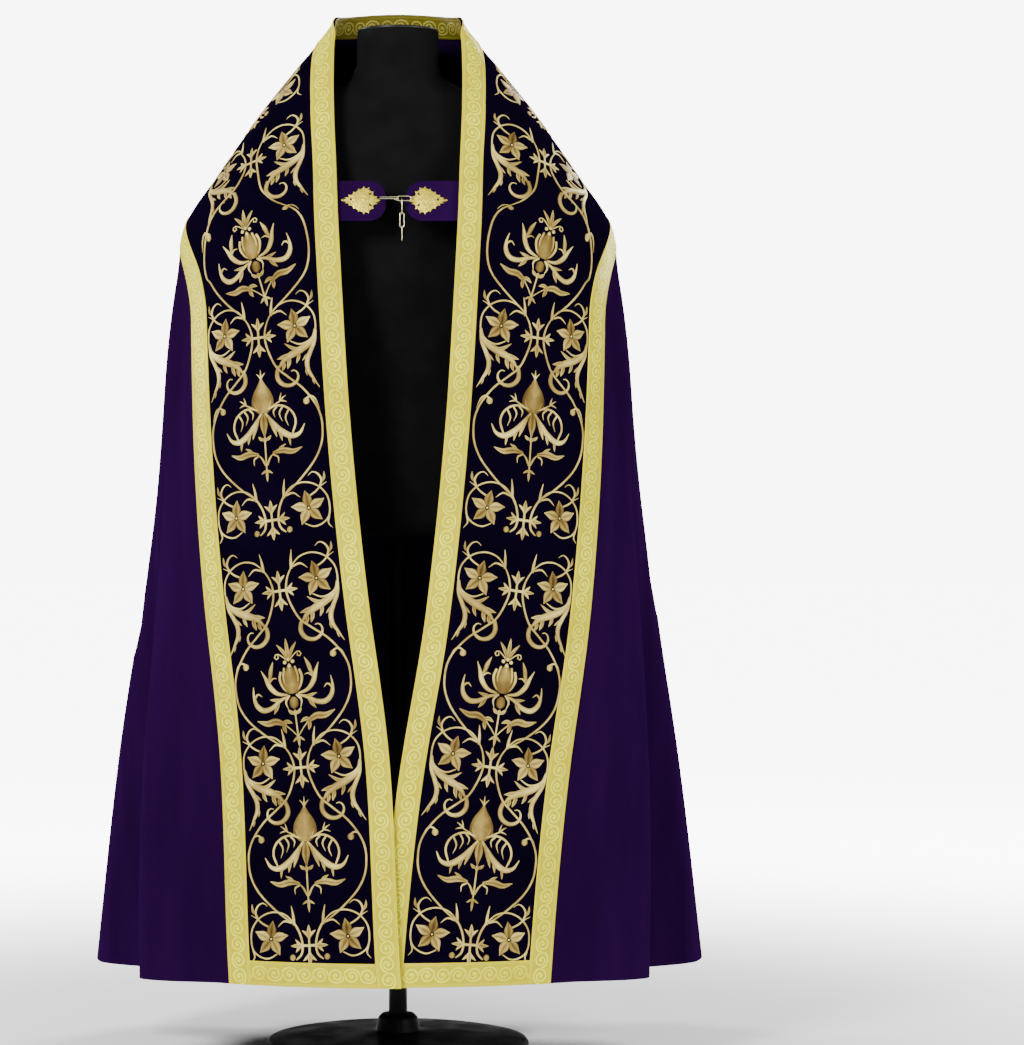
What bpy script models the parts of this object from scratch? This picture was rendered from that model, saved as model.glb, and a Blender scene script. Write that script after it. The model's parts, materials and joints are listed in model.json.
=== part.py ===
"""A cope, worn open on a limbless dress form.

The cope is a long cloak of violet cloth. A velvet orphrey runs up each front edge, over the shoulder
and across the back as a yoke, and gold galloon is sewn along all its edges. A shield-shaped hood with
a fringe hangs from the yoke. Two tabs with brooches, a hook and an eye close the cope at the chest.

Metres, +Z up. The form stands on z = 0 with its pole on the Z axis, the front faces -Y, and "left"
is the -X side. Every cloth piece is a thin wall made on one worn surface: place(side, z, g) gives the
point of that surface at level z, at the distance g from the centre back, measured along the level.
"""
import functools
import math

import bmesh
import bpy
import numpy as np
from mathutils import Matrix, Vector

# ------------------------------------------------------------------ driving sizes, in metres
HEM_Z = 0.130
COLLAR_Z = 1.575
YOKE_Z = 1.262            # level of the yoke's lower edge at the side of the shoulder
ORPHREY_WIDTH = 0.257
GALLOON_WIDTH = 0.035
SEAM_GAP = 0.0003         # between pieces that meet edge to edge, and under a piece laid on another

BODY_THICK = 0.0016
ORPHREY_THICK = 0.0025
GALLOON_THICK = 0.0012
HOOD_THICK = 0.0025
BAND_THICK = 0.0032

# The worn surface. Each row is the outline at one level: half_width is how far the side stands out
# at y = side_y, the front edge is at (edge_x, edge_y), the centre back is at back_y, and back_rise is
# how much higher the back of that level lies than its side.
SECTION_COLUMNS = ("z", "half_width", "edge_x", "edge_y", "side_y", "back_y", "back_rise")
SECTIONS = (
    (0.130, 0.456, -0.0175, -0.300, 0.030, 0.325, 0.000),
    (0.450, 0.425, 0.0080, -0.277, 0.025, 0.288, 0.000),
    (0.680, 0.395, 0.0420, -0.252, 0.020, 0.254, 0.000),
    (0.950, 0.364, 0.0700, -0.220, 0.012, 0.216, 0.008),
    (1.170, 0.338, 0.0840, -0.188, 0.005, 0.188, 0.034),
    (1.262, 0.320, 0.0890, -0.168, 0.000, 0.174, 0.046),
    (1.335, 0.270, 0.0920, -0.140, 0.000, 0.158, 0.045),
    (1.420, 0.211, 0.0960, -0.100, 0.000, 0.138, 0.035),
    (1.490, 0.155, 0.0970, -0.062, 0.000, 0.116, 0.025),
    (1.530, 0.123, 0.0960, -0.038, 0.000, 0.102, 0.018),
    (1.555, 0.103, 0.0930, -0.020, 0.000, 0.092, 0.015),
    (1.575, 0.094, 0.0900, -0.008, 0.000, 0.085, 0.015),
)
# Long soft folds that open towards the hem. The angle is measured from the front (0) to the back
# (180). push moves the cloth out at the hem, the fold dies out at top_z, and columns is the number of
# columns of the body between this fold's line and the one before it.
FOLD_COLUMNS = ("hem_angle", "top_angle", "half_width", "push_left", "push_right", "top_z", "columns")
FOLDS = (
    (61.0, 76.0, 15.0, 0.034, 0.030, 1.08, 3),
    (75.0, 90.0, 14.0, -0.068, -0.061, 1.08, 3),
    (99.0, 109.0, 15.0, 0.009, 0.015, 1.10, 4),
    (125.0, 132.0, 12.0, -0.066, -0.070, 0.98, 5),
    (138.0, 144.0, 13.0, 0.062, 0.056, 0.98, 3),
    (157.0, 159.0, 11.0, -0.012, -0.018, 0.70, 4),
)
# Where the fronts meet at the foot, the left front lies over the right one.
LAP_TOP_Z = 0.640         # above this the fronts are level with each other
LAP_FULL_Z = 0.430
LAP_DEPTH = 0.0040        # each front moves this far, one outwards and one inwards
LAP_SHIFT = 0.0125        # at the hem the lap reaches this far past the middle of both edges

# Rungs cross the orphrey from its inner edge to its outer edge. These are the levels of the lower ones.
RUNG_LEVELS = (
    HEM_Z, HEM_Z + GALLOON_WIDTH, 0.250, 0.350, 0.450, 0.550, 0.650, 0.740, 0.830, 0.920, 1.010, 1.100,
)
VELVET_CELLS = 7
INNER_CORNER_Z = 1.535    # the front edge starts to turn into the neckline here
INNER_CORNER_RUN = 0.030
OUTER_CORNER_Z = RUNG_LEVELS[-1]
OUTER_CORNER_RUN = 0.190
CORNER_STEPS = 5
YOKE_STEPS = 11           # rungs along the yoke's lower edge, with two columns of the body below each
FOLD_LINES_TO_Z = 0.650   # above this the body's columns leave the folds' lines for the yoke's rungs
SIDE_COLUMNS = 15         # columns of the body, counted from the orphrey, in the side width of cloth

HOOD_HALF_WIDTH = 0.265
HOOD_DEPTH = 0.490
HOOD_CORNER = 0.145
BAND_WIDTH = 0.013
HOOD_COLUMNS = 12
HOOD_LIFT_TOP = 0.0030    # the hood's underside stands this far off the middle of the body's wall
HOOD_LIFT_FOOT = 0.0085
FRINGE_STRANDS = 108
FRINGE_GAP = 0.0011       # between the band's edge and the fringe's head
FRINGE_HEAD = 0.0060
FRINGE_THICK = 0.0030
FRINGE_FOOT_LENGTH = 0.043
FRINGE_SIDE_LENGTH = 0.032

CLASP_Z = 1.279
TAB_HEIGHT = 0.065
TAB_ROUND = 0.026
TAB_THICK = 0.002
TAB_FACE = -0.0058        # the tabs' outer face, behind the middle of the front edges' wall
TAB_HIDDEN_END = 0.115
LEFT_TAB_END = -0.018
RIGHT_TAB_END = 0.012
LEFT_BROOCH_X = -0.0547
RIGHT_BROOCH_X = 0.0440
BROOCH_HALF_LENGTH = 0.0285
BROOCH_HALF_HEIGHT = 0.0230
BROOCH_LOBES = 16
BROOCH_HEIGHT = 0.0050
WIRE_RADIUS = 0.0008
LINK_HALF_LENGTH = 0.0110
LINK_HALF_WIDTH = 0.0031
LINK_PLAY = 0.0004

# The dress form: level, half width, front depth, back depth.
FORM_COLUMNS = ("z", "half_width", "front", "back")
FORM_SECTIONS = (
    (0.780, 0.150, 0.112, 0.112),
    (0.800, 0.165, 0.124, 0.124),
    (0.880, 0.172, 0.122, 0.130),
    (0.980, 0.162, 0.112, 0.112),
    (1.070, 0.156, 0.108, 0.100),
    (1.160, 0.166, 0.116, 0.106),
    (1.250, 0.190, 0.122, 0.116),
    (1.320, 0.212, 0.116, 0.114),
    (1.370, 0.2300, 0.102, 0.106),
    (1.400, 0.2190, 0.088, 0.096),
    (1.422, 0.1980, 0.076, 0.088),
    (1.444, 0.152, 0.066, 0.080),
    (1.462, 0.102, 0.060, 0.072),
    (1.476, 0.074, 0.058, 0.066),
    (1.500, 0.063, 0.060, 0.062),
    (1.5485, 0.062, 0.062, 0.062),
)
FORM_SIDES = 28
NECK_CAP_THICK = 0.004
POLE_RADIUS = 0.014
BASE_RADIUS = 0.200
BASE_EDGE = 0.012
BASE_BOSS_RADIUS = 0.030
BASE_BOSS_TOP = 0.050

RING_STEPS = 180          # samples of each half level, from the centre back to the front edge

COLOURS = {               # base colour, roughness, metallic
    "violet_cloth": ((0.030, 0.008, 0.085), 0.70, 0.0),
    "velvet": ((0.006, 0.003, 0.018), 0.85, 0.0),
    "galloon": ((0.720, 0.600, 0.140), 0.45, 0.3),
    "cream_band": ((0.850, 0.780, 0.380), 0.50, 0.2),
    "fringe": ((0.480, 0.340, 0.110), 0.55, 0.2),
    "brooch_gold": ((0.850, 0.640, 0.180), 0.28, 1.0),
    "steel": ((0.600, 0.570, 0.480), 0.30, 1.0),
    "jersey": ((0.010, 0.010, 0.011), 0.90, 0.0),
    "black_metal": ((0.020, 0.020, 0.022), 0.45, 0.6),
}


# ------------------------------------------------------------------ scene and materials
for leftover in list(bpy.data.objects):
    bpy.data.objects.remove(leftover, do_unlink=True)

collection = bpy.data.collections.new("cope_on_dress_form")
bpy.context.scene.collection.children.link(collection)


@functools.lru_cache(maxsize=None)
def material(name):
    colour, roughness, metallic = COLOURS[name]
    made = bpy.data.materials.new(name)
    made.use_nodes = True
    shader = made.node_tree.nodes["Principled BSDF"]
    shader.inputs["Base Color"].default_value = (*colour, 1.0)
    shader.inputs["Roughness"].default_value = roughness
    shader.inputs["Metallic"].default_value = metallic
    return made


def add_object(name, data, material_name, matrix=None):
    obj = bpy.data.objects.new(name, data)
    obj.data.materials.append(material(material_name))
    if matrix is not None:
        obj.matrix_world = matrix
    collection.objects.link(obj)
    return obj


def finish_mesh(name, mesh_builder, material_name, crease=math.radians(40), matrix=None):
    bmesh.ops.recalc_face_normals(mesh_builder, faces=mesh_builder.faces)
    mesh = bpy.data.meshes.new(name)
    mesh_builder.to_mesh(mesh)
    mesh_builder.free()
    mesh.shade_smooth()
    mesh.set_sharp_from_angle(angle=crease)
    return add_object(name, mesh, material_name, matrix)


# ------------------------------------------------------------------ the worn surface
def smooth_curve(xs, ys, x):
    """A smooth curve through the points (xs, ys), read at x."""
    xs, ys = np.asarray(xs, float), np.asarray(ys, float)
    slope = np.gradient(ys, xs)
    i = int(np.clip(np.searchsorted(xs, x) - 1, 0, len(xs) - 2))
    step = xs[i + 1] - xs[i]
    t = (x - xs[i]) / step
    return (
        (2 * t**3 - 3 * t**2 + 1) * ys[i]
        + (t**3 - 2 * t**2 + t) * step * slope[i]
        + (3 * t**2 - 2 * t**3) * ys[i + 1]
        + (t**3 - t**2) * step * slope[i + 1]
    )


def ease(t):
    t = min(max(t, 0.0), 1.0)
    return t * t * (3 - 2 * t)


def section(z):
    levels = [row[0] for row in SECTIONS]
    return {
        name: smooth_curve(levels, [row[k] for row in SECTIONS], z)
        for k, name in enumerate(SECTION_COLUMNS)
        if k
    }


def up_the_fold(fold, z):
    return min((z - HEM_Z) / (fold["top_z"] - HEM_Z), 1.0)


def fold_angle(fold, z):
    return fold["hem_angle"] + (fold["top_angle"] - fold["hem_angle"]) * up_the_fold(fold, z)


def outline(side, z):
    """The points of half a level, from the centre back to the front edge."""
    at = section(z)
    lap = ease((LAP_TOP_Z - z) / (LAP_TOP_Z - LAP_FULL_Z))
    shift = side * LAP_SHIFT * ease((LAP_TOP_Z - z) / (LAP_TOP_Z - HEM_Z))
    edge_x = at["edge_x"] - shift
    edge_y = at["edge_y"] + side * LAP_DEPTH * lap
    back = np.linspace(math.pi / 2, 0, RING_STEPS // 2, endpoint=False)
    front = np.linspace(math.pi / 2, 0, RING_STEPS // 2 + 1)
    x = np.concatenate([
        at["half_width"] * np.cos(back),
        edge_x + (at["half_width"] - edge_x) * np.sin(front),
    ])
    y = np.concatenate([
        at["side_y"] + (at["back_y"] - at["side_y"]) * np.sin(back),
        at["side_y"] + (edge_y - at["side_y"]) * np.cos(front),
    ])
    rise = at["back_rise"] * np.concatenate([np.sin(back) ** 2, np.zeros(len(front))])
    angle = np.degrees(np.arctan2(x, -y))
    push = np.zeros(len(x))
    for fold in FOLDS:
        fold = dict(zip(FOLD_COLUMNS, fold))
        near = np.clip(np.abs(angle - fold_angle(fold, z)) / fold["half_width"], 0, 1)
        depth = fold["push_left"] if side < 0 else fold["push_right"]
        push += depth * (1 - ease(up_the_fold(fold, z))) * (0.5 + 0.5 * np.cos(math.pi * near))
    x = x + push * np.sin(np.radians(angle))
    y = y - push * np.cos(np.radians(angle))
    return np.stack([side * x, y, z + rise], axis=1)


@functools.lru_cache(maxsize=None)
def level(side, z):
    """(distance from the centre back, points, outward normals) along half a level."""
    points = outline(side, z)
    along = np.gradient(points, axis=0)
    step = 0.002
    above = outline(side, min(z + step, COLLAR_Z))
    below = outline(side, max(z - step, HEM_Z))
    normals = side * np.cross(above - below, along)
    normals /= np.linalg.norm(normals, axis=1, keepdims=True)
    lengths = np.linalg.norm(np.diff(points, axis=0), axis=1)
    return np.concatenate([[0.0], np.cumsum(lengths)]), points, normals


def half_length(side, z):
    return level(side, z)[0][-1]


def place(side, z, g):
    """The point and the outward normal of the worn surface."""
    distance, points, normals = level(side, z)
    point = np.array([np.interp(g, distance, points[:, k]) for k in range(3)])
    normal = np.array([np.interp(g, distance, normals[:, k]) for k in range(3)])
    return point, normal / np.linalg.norm(normal)


def lay_out(side, levels_and_distances):
    placed = [place(side, z, g) for z, g in levels_and_distances]
    return np.array([point for point, _ in placed]), np.array([normal for _, normal in placed])


def travelled(points):
    """The distance along a line of points."""
    return np.concatenate([[0.0], np.cumsum(np.linalg.norm(np.diff(points, axis=0), axis=1))])


# ------------------------------------------------------------------ cloth walls
def cloth_wall(name, outer, inner, material_name, turn=None):
    """A closed wall between two like grids of points. turn is the row past which the cells' diagonals
    run the other way, for a strip that runs over both halves of the cope."""
    rows, columns = outer.shape[:2]
    turn = rows if turn is None else turn
    wall = bmesh.new()
    sheets = [
        [[wall.verts.new(sheet[i, j]) for j in range(columns)] for i in range(rows)]
        for sheet in (outer, inner)
    ]
    for sheet in sheets:
        for i in range(rows - 1):
            for j in range(columns - 1):
                a, b, c, d = sheet[i][j], sheet[i][j + 1], sheet[i + 1][j + 1], sheet[i + 1][j]
                halves = ((a, b, c), (a, c, d)) if i < turn else ((a, b, d), (b, c, d))
                for half in halves:
                    wall.faces.new(half)
    rim = [(0, j) for j in range(columns)] + [(i, columns - 1) for i in range(1, rows)]
    rim += [(rows - 1, j) for j in range(columns - 2, -1, -1)] + [(i, 0) for i in range(rows - 2, 0, -1)]
    for (i, j), (k, m) in zip(rim, rim[1:] + rim[:1]):
        wall.faces.new((sheets[0][i][j], sheets[0][k][m], sheets[1][k][m], sheets[1][i][j]))
    return finish_mesh(name, wall, material_name)


def pulled_in(strip, row_gaps=(0.0, 0.0), column_gaps=(0.0, 0.0)):
    """The grid with its end rows and end columns moved inwards by these gaps."""
    made = strip.copy()
    for gap, end, inside in ((row_gaps[0], 0, 1), (row_gaps[1], -1, -2)):
        way = strip[inside] - strip[end]
        made[end] = strip[end] + way * (gap / np.linalg.norm(way, axis=1, keepdims=True))
    strip = made.copy()
    for gap, end, inside in ((column_gaps[0], 0, 1), (column_gaps[1], -1, -2)):
        way = strip[:, inside] - strip[:, end]
        made[:, end] = strip[:, end] + way * (gap / np.linalg.norm(way, axis=1, keepdims=True))
    return made


def laid_on(name, surface, normals, material_name, thick=GALLOON_THICK, turn=None, **gaps):
    """A strip laid on a wall: the wall's own points, moved out."""
    under = pulled_in(surface + normals * SEAM_GAP, **gaps)
    over = pulled_in(surface + normals * (SEAM_GAP + thick), **gaps)
    return cloth_wall(name, over, under, material_name, turn)


# ------------------------------------------------------------------ the orphrey's edges, as (level, distance)
def outer_corner(side):
    """Where the orphrey's outer edge turns from the front into the yoke's lower edge."""
    turned = []
    for angle in np.linspace(0, math.pi / 2, CORNER_STEPS + 1)[1:]:
        z = OUTER_CORNER_Z + (YOKE_Z - OUTER_CORNER_Z) * math.sin(angle)
        from_front = ORPHREY_WIDTH + OUTER_CORNER_RUN * (1 - math.cos(angle))
        turned.append((z, half_length(side, z) - from_front))
    return turned


def yoke_steps():
    """Shares of the yoke edge, from the corner to the centre back. The last step is half a galloon."""
    yoke_length = outer_corner(1)[-1][1]
    last = GALLOON_WIDTH / 2 / yoke_length
    return np.append(np.linspace(0, 1 - last, YOKE_STEPS), 1.0)


def outer_edge(side):
    lower = [(z, half_length(side, z) - ORPHREY_WIDTH) for z in RUNG_LEVELS]
    corner = outer_corner(side)
    z, g = corner[-1]
    return lower + corner + [(z, g * (1 - share)) for share in yoke_steps()[1:]]


def inner_line(side):
    """Closely spaced points of the inner edge above the lower rungs: up the front, round the neck."""
    front = [(z, half_length(side, z)) for z in np.linspace(OUTER_CORNER_Z, INNER_CORNER_Z, 40)]
    corner = []
    for angle in np.linspace(0, math.pi / 2, 12)[1:]:
        z = INNER_CORNER_Z + (COLLAR_Z - INNER_CORNER_Z) * math.sin(angle)
        corner.append((z, half_length(side, z) - INNER_CORNER_RUN * (1 - math.cos(angle))))
    z, g = corner[-1]
    return front + corner + [(z, g * (1 - share)) for share in np.linspace(0, 1, 24)[1:]]


def inner_edge(side):
    """The inner ends of the rungs: they share the inner edge out as the outer ends share the outer one."""
    outer = outer_edge(side)[len(RUNG_LEVELS) - 1:]
    outer_distance = travelled(lay_out(side, outer)[0])
    line = inner_line(side)
    line_distance = travelled(lay_out(side, line)[0])
    total = line_distance[-1] - GALLOON_WIDTH / 2
    shares = outer_distance[:-1] / outer_distance[-2] * total
    ends = [
        (float(np.interp(at, line_distance, [p[0] for p in line])),
         float(np.interp(at, line_distance, [p[1] for p in line])))
        for at in shares[1:]
    ]
    lower = [(z, half_length(side, z)) for z in RUNG_LEVELS]
    return lower + ends + [(COLLAR_Z, 0.0)]


def nearest(points, line):
    """How far each point is from a closely spaced line of points."""
    return np.min(np.linalg.norm(points[:, None] - line[None], axis=2), axis=1)


def orphrey_grid(side):
    """Points and normals of the orphrey, a row for each rung. The columns are the inner edge, the
    galloon's line, the velvet's cells, the outer galloon's line and the outer edge."""
    lower = [(z, half_length(side, z)) for z in np.linspace(HEM_Z, OUTER_CORNER_Z, 120)]
    inner_points = lay_out(side, lower + inner_line(side))[0]
    outer = outer_edge(side)
    fine = np.linspace(0, len(outer) - 1, 700)
    outer_path = [
        (float(np.interp(k, range(len(outer)), [p[0] for p in outer])),
         float(np.interp(k, range(len(outer)), [p[1] for p in outer])))
        for k in fine
    ]
    outer_points = lay_out(side, outer_path)[0]
    rows = []
    for start, end in zip(inner_edge(side), outer):
        shares = np.linspace(0, 1, 61)
        path = [(start[0] + (end[0] - start[0]) * s, start[1] + (end[1] - start[1]) * s) for s in shares]
        points = lay_out(side, path)[0]
        from_inner = np.maximum.accumulate(nearest(points, inner_points))
        from_outer = np.maximum.accumulate(nearest(points, outer_points)[::-1])
        first = float(np.interp(GALLOON_WIDTH, from_inner, shares))
        last = 1 - float(np.interp(GALLOON_WIDTH, from_outer, shares))
        cuts = [0.0, *np.linspace(first, last, VELVET_CELLS + 1), 1.0]
        rows.append([(start[0] + (end[0] - start[0]) * s, start[1] + (end[1] - start[1]) * s) for s in cuts])
    placed = [lay_out(side, row) for row in rows]
    return np.array([points for points, _ in placed]), np.array([normals for _, normals in placed])


# ------------------------------------------------------------------ orphrey and galloon
def both_halves(left, right):
    """One grid over both halves of the cope: the left rows up to the centre back, then the right ones."""
    middle = (left[-1:] + right[-1:]) / 2
    return np.concatenate([left[:-1], middle, right[-2::-1]])


def build_orphreys():
    """The velvet bands, and every strip of galloon that is sewn on them."""
    surfaces = {}
    neck_row = next(i for i, (z, _) in enumerate(inner_edge(1)) if z > INNER_CORNER_Z)
    yoke_row = len(RUNG_LEVELS) - 1 + CORNER_STEPS
    last = VELVET_CELLS + 2
    for side, word in ((-1, "left"), (1, "right")):
        points, normals = orphrey_grid(side)
        points[-1, :, 0] = side * SEAM_GAP / 2
        outer = points + normals * ORPHREY_THICK / 2
        inner = points - normals * ORPHREY_THICK / 2
        cloth_wall(f"orphrey_{word}", outer, inner, "velvet")
        surfaces[side] = outer, inner, normals
        laid_on(f"galloon_front_{word}", outer[: neck_row + 1, :2], normals[: neck_row + 1, :2], "galloon",
                row_gaps=(0.0, SEAM_GAP))
        laid_on(f"galloon_side_{word}", outer[: yoke_row + 1, -2:], normals[: yoke_row + 1, -2:], "galloon",
                row_gaps=(0.0, SEAM_GAP))
        laid_on(f"galloon_hem_{word}", outer[:2, 1:last], normals[:2, 1:last], "galloon",
                column_gaps=(SEAM_GAP, SEAM_GAP))
    outer, inner, normals = (both_halves(surfaces[-1][k], surfaces[1][k]) for k in range(3))
    normals /= np.linalg.norm(normals, axis=2, keepdims=True)
    centre = len(outer) // 2
    across = slice(neck_row, len(outer) - neck_row)
    laid_on("galloon_collar", outer[across, :2], normals[across, :2], "galloon",
            turn=centre - neck_row, row_gaps=(SEAM_GAP, SEAM_GAP))
    laid_on("collar_facing", inner[across, :2], -normals[across, :2], "galloon",
            turn=centre - neck_row, row_gaps=(SEAM_GAP, SEAM_GAP))
    across = slice(yoke_row, len(outer) - yoke_row)
    laid_on("galloon_yoke", outer[across, -2:], normals[across, -2:], "galloon",
            turn=centre - yoke_row, row_gaps=(SEAM_GAP, SEAM_GAP))
    across = slice(centre - 1, centre + 2)
    laid_on("galloon_centre_back", outer[across, 1:last], normals[across, 1:last], "galloon",
            turn=1, column_gaps=(SEAM_GAP, SEAM_GAP))


# ------------------------------------------------------------------ the body's three widths of cloth
def fold_shares(side, z):
    """Where the body's columns run at this level, as shares of the way from the orphrey to the centre
    back. They follow the folds' lines."""
    distance, points, _ = level(side, z)
    angles = np.degrees(np.arctan2(side * points[:, 0], -points[:, 1]))
    width = distance[-1] - ORPHREY_WIDTH
    lines, counts = [width], []
    for fold in FOLDS:
        fold = dict(zip(FOLD_COLUMNS, fold))
        lines.append(float(np.interp(fold_angle(fold, z), angles[::-1], distance[::-1])))
        counts.append(fold["columns"])
    lines.append(0.0)
    counts.append(CORNER_STEPS + 2 * YOKE_STEPS - sum(counts))
    runs = [np.linspace(a, b, n, endpoint=False) for a, b, n in zip(lines, lines[1:], counts)]
    return 1 - np.append(np.concatenate(runs), 0.0) / width


def body_grid(side):
    """Points and normals of half the body. The columns run from the hem up to the orphrey's outer edge:
    the first along its front stretch, the next to the corner's points, and the rest to the yoke's edge."""
    edge = outer_edge(side)[len(RUNG_LEVELS) - 1:]
    tops = edge[: CORNER_STEPS + 1]
    for (_, before), (z, g) in zip(edge[CORNER_STEPS:], edge[CORNER_STEPS + 1:]):
        tops += [(z, (before + g) / 2), (z, g)]
    top_shares = [1 - g / (half_length(side, z) - ORPHREY_WIDTH) for z, g in tops]
    rows = []
    for rung in RUNG_LEVELS:
        up = (rung - HEM_Z) / (OUTER_CORNER_Z - HEM_Z)
        blend = ease((rung - FOLD_LINES_TO_Z) / (OUTER_CORNER_Z - FOLD_LINES_TO_Z))
        row = []
        for k, ((top_z, _), top_share) in enumerate(zip(tops, top_shares)):
            z = HEM_Z + (top_z - HEM_Z) * up - (SEAM_GAP if up == 1 else 0)
            share = top_share if up == 1 else fold_shares(side, z)[k] * (1 - blend) + top_share * blend
            row.append((z, (half_length(side, z) - ORPHREY_WIDTH - SEAM_GAP) * (1 - share)))
        rows.append(row)
    placed = [lay_out(side, row) for row in rows]
    return np.array([points for points, _ in placed]), np.array([normals for _, normals in placed])


def straight_between(sheet):
    """The points of the top row between two rungs, moved onto the straight yoke edge between them."""
    start = CORNER_STEPS
    sheet[-1, start + 1:-1:2] = (sheet[-1, start:-2:2] + sheet[-1, start + 2::2]) / 2
    return sheet


def build_body():
    sheets = {}
    for side, word in ((-1, "left"), (1, "right")):
        points, normals = body_grid(side)
        outer = straight_between(points + normals * BODY_THICK / 2)
        inner = straight_between(points - normals * BODY_THICK / 2)
        sheets[side] = outer, inner
        cut = slice(0, SIDE_COLUMNS + 1)
        cloth_wall(f"cope_{word}", *(pulled_in(sheet[:, cut], column_gaps=(0.0, SEAM_GAP / 2))
                                     for sheet in sheets[side]), "violet_cloth")
    back = []
    for k in range(2):
        left = sheets[-1][k][:, SIDE_COLUMNS:]
        right = sheets[1][k][:, SIDE_COLUMNS:]
        middle = (left[:, -1:] + right[:, -1:]) / 2
        across = np.concatenate([left[:, :-1], middle, right[:, -2::-1]], axis=1)
        back.append(pulled_in(across, column_gaps=(SEAM_GAP / 2, SEAM_GAP / 2)))
    cloth_wall("cope_back", *back, "violet_cloth")


# ------------------------------------------------------------------ hood, band and fringe
def hood_point(across, down, lift):
    """The point over the back of the cope: across from the centre line, down from the yoke's edge."""
    side = 1 if across >= 0 else -1
    point, normal = place(side, YOKE_Z - 4 * SEAM_GAP - down, abs(across))
    share = min(max(down / HOOD_DEPTH, 0), 1.2)
    return point + normal * (HOOD_LIFT_TOP + (HOOD_LIFT_FOOT - HOOD_LIFT_TOP) * share + lift)


def hood_outline(inset):
    """Half the hood's outline, this far inside its edge, from the top of the side to the middle of the
    foot, as (across, down, outward across, outward down)."""
    half, corner = HOOD_HALF_WIDTH - inset, HOOD_CORNER - inset
    turn = HOOD_DEPTH - HOOD_CORNER
    half_foot = HOOD_HALF_WIDTH - HOOD_CORNER
    line = [(half, down, 1.0, 0.0) for down in np.linspace(0, turn, 8)]
    for angle in np.linspace(0, math.pi / 2, 8)[1:]:
        way = math.cos(angle), math.sin(angle)
        line.append((half_foot + corner * way[0], turn + corner * way[1], *way))
    foot = np.linspace(half_foot, 0, HOOD_COLUMNS // 2 + 1)[1:]
    return line + [(across, HOOD_DEPTH - inset, 0.0, 1.0) for across in foot]


def build_hood():
    half = hood_outline(BAND_WIDTH + SEAM_GAP)
    rows = [(across, down) for across, down, _, _ in half if across >= HOOD_HALF_WIDTH - HOOD_CORNER - 1e-6]
    shares = np.linspace(-1, 1, HOOD_COLUMNS + 1)
    grids = [
        np.array([[hood_point(across * share, down, lift) for share in shares] for across, down in rows])
        for lift in (HOOD_THICK, 0.0)
    ]
    cloth_wall("hood", *grids, "velvet")
    inner_line = [(-a, d) for a, d, _, _ in hood_outline(BAND_WIDTH)]
    inner_line += [(a, d) for a, d, _, _ in hood_outline(BAND_WIDTH)[-2::-1]]
    edge_line = [(-a, d) for a, d, _, _ in hood_outline(0.0)]
    edge_line += [(a, d) for a, d, _, _ in hood_outline(0.0)[-2::-1]]
    grids = [
        np.array([[hood_point(*a, lift), hood_point(*b, lift)] for a, b in zip(inner_line, edge_line)])
        for lift in (BAND_THICK, 0.0)
    ]
    cloth_wall("hood_band", *grids, "cream_band")


def fringe_stations():
    """Evenly spaced stations round the hood's edge, as (across, down, outward across, outward down)."""
    half = hood_outline(0.0)
    line = [(-a, d, -na, nd) for a, d, na, nd in half] + [(a, d, na, nd) for a, d, na, nd in half[-2::-1]]
    line = np.array(line)
    distance = travelled(line[:, :2])
    at = np.linspace(0, distance[-1], 2 * FRINGE_STRANDS)
    stations = np.stack([np.interp(at, distance, line[:, k]) for k in range(4)], axis=1)
    stations[:, 2:] /= np.linalg.norm(stations[:, 2:], axis=1, keepdims=True)
    return stations


def build_fringe():
    """A comb: a narrow head with a four-sided strand below every second cell."""
    comb = bmesh.new()
    heads, feet, tips = [], [], []
    for across, down, out_across, out_down in fringe_stations():
        way = np.array([out_across, out_down + 1.15 * (1 - out_down)])
        way /= np.linalg.norm(way)
        length = FRINGE_SIDE_LENGTH + (FRINGE_FOOT_LENGTH - FRINGE_SIDE_LENGTH) * out_down
        out = np.array([out_across, out_down])
        here = np.array([across, down])
        for chain, flat in (
            (heads, here + out * FRINGE_GAP),
            (feet, here + out * FRINGE_HEAD),
            (tips, here + out * FRINGE_HEAD + way * length),
        ):
            chain.append([hood_point(*flat, lift) for lift in (FRINGE_THICK, 0.0)])
    verts = [[[comb.verts.new(p) for p in pair] for pair in chain] for chain in (heads, feet)]
    last = len(heads) - 1
    for i in range(last):
        for face in (0, 1):
            head, foot = verts
            comb.faces.new([head[i][face], head[i + 1][face], foot[i + 1][face], foot[i][face]])
        comb.faces.new([verts[0][i][0], verts[0][i + 1][0], verts[0][i + 1][1], verts[0][i][1]])
        a, b = verts[1][i], verts[1][i + 1]
        if i % 2:
            comb.faces.new([a[0], b[0], b[1], a[1]])
            continue
        c, d = ([comb.verts.new(p) for p in tips[k]] for k in (i, i + 1))
        for loop in ((a[0], b[0], d[0], c[0]), (a[1], b[1], d[1], c[1]), (a[0], c[0], c[1], a[1]),
                     (b[0], d[0], d[1], b[1]), (c[0], d[0], d[1], c[1])):
            comb.faces.new(loop)
    for i in (0, last):
        comb.faces.new([verts[0][i][0], verts[0][i][1], verts[1][i][1], verts[1][i][0]])
    finish_mesh("hood_fringe", comb, "fringe")


# ------------------------------------------------------------------ the clasp
def clasp_matrix(x=0.0, out=0.0):
    """Local x runs across, local y up the front edges, and local z out of them."""
    reach = TAB_HEIGHT / 2
    low, middle, high = (section(CLASP_Z + step)["edge_y"] for step in (-reach, 0.0, reach))
    lean = math.atan((high - low) / (2 * reach))
    turn = Matrix.Rotation(math.pi / 2 - lean, 4, "X")
    return Matrix.Translation((x, middle, CLASP_Z)) @ turn @ Matrix.Translation((0, 0, out))


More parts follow.
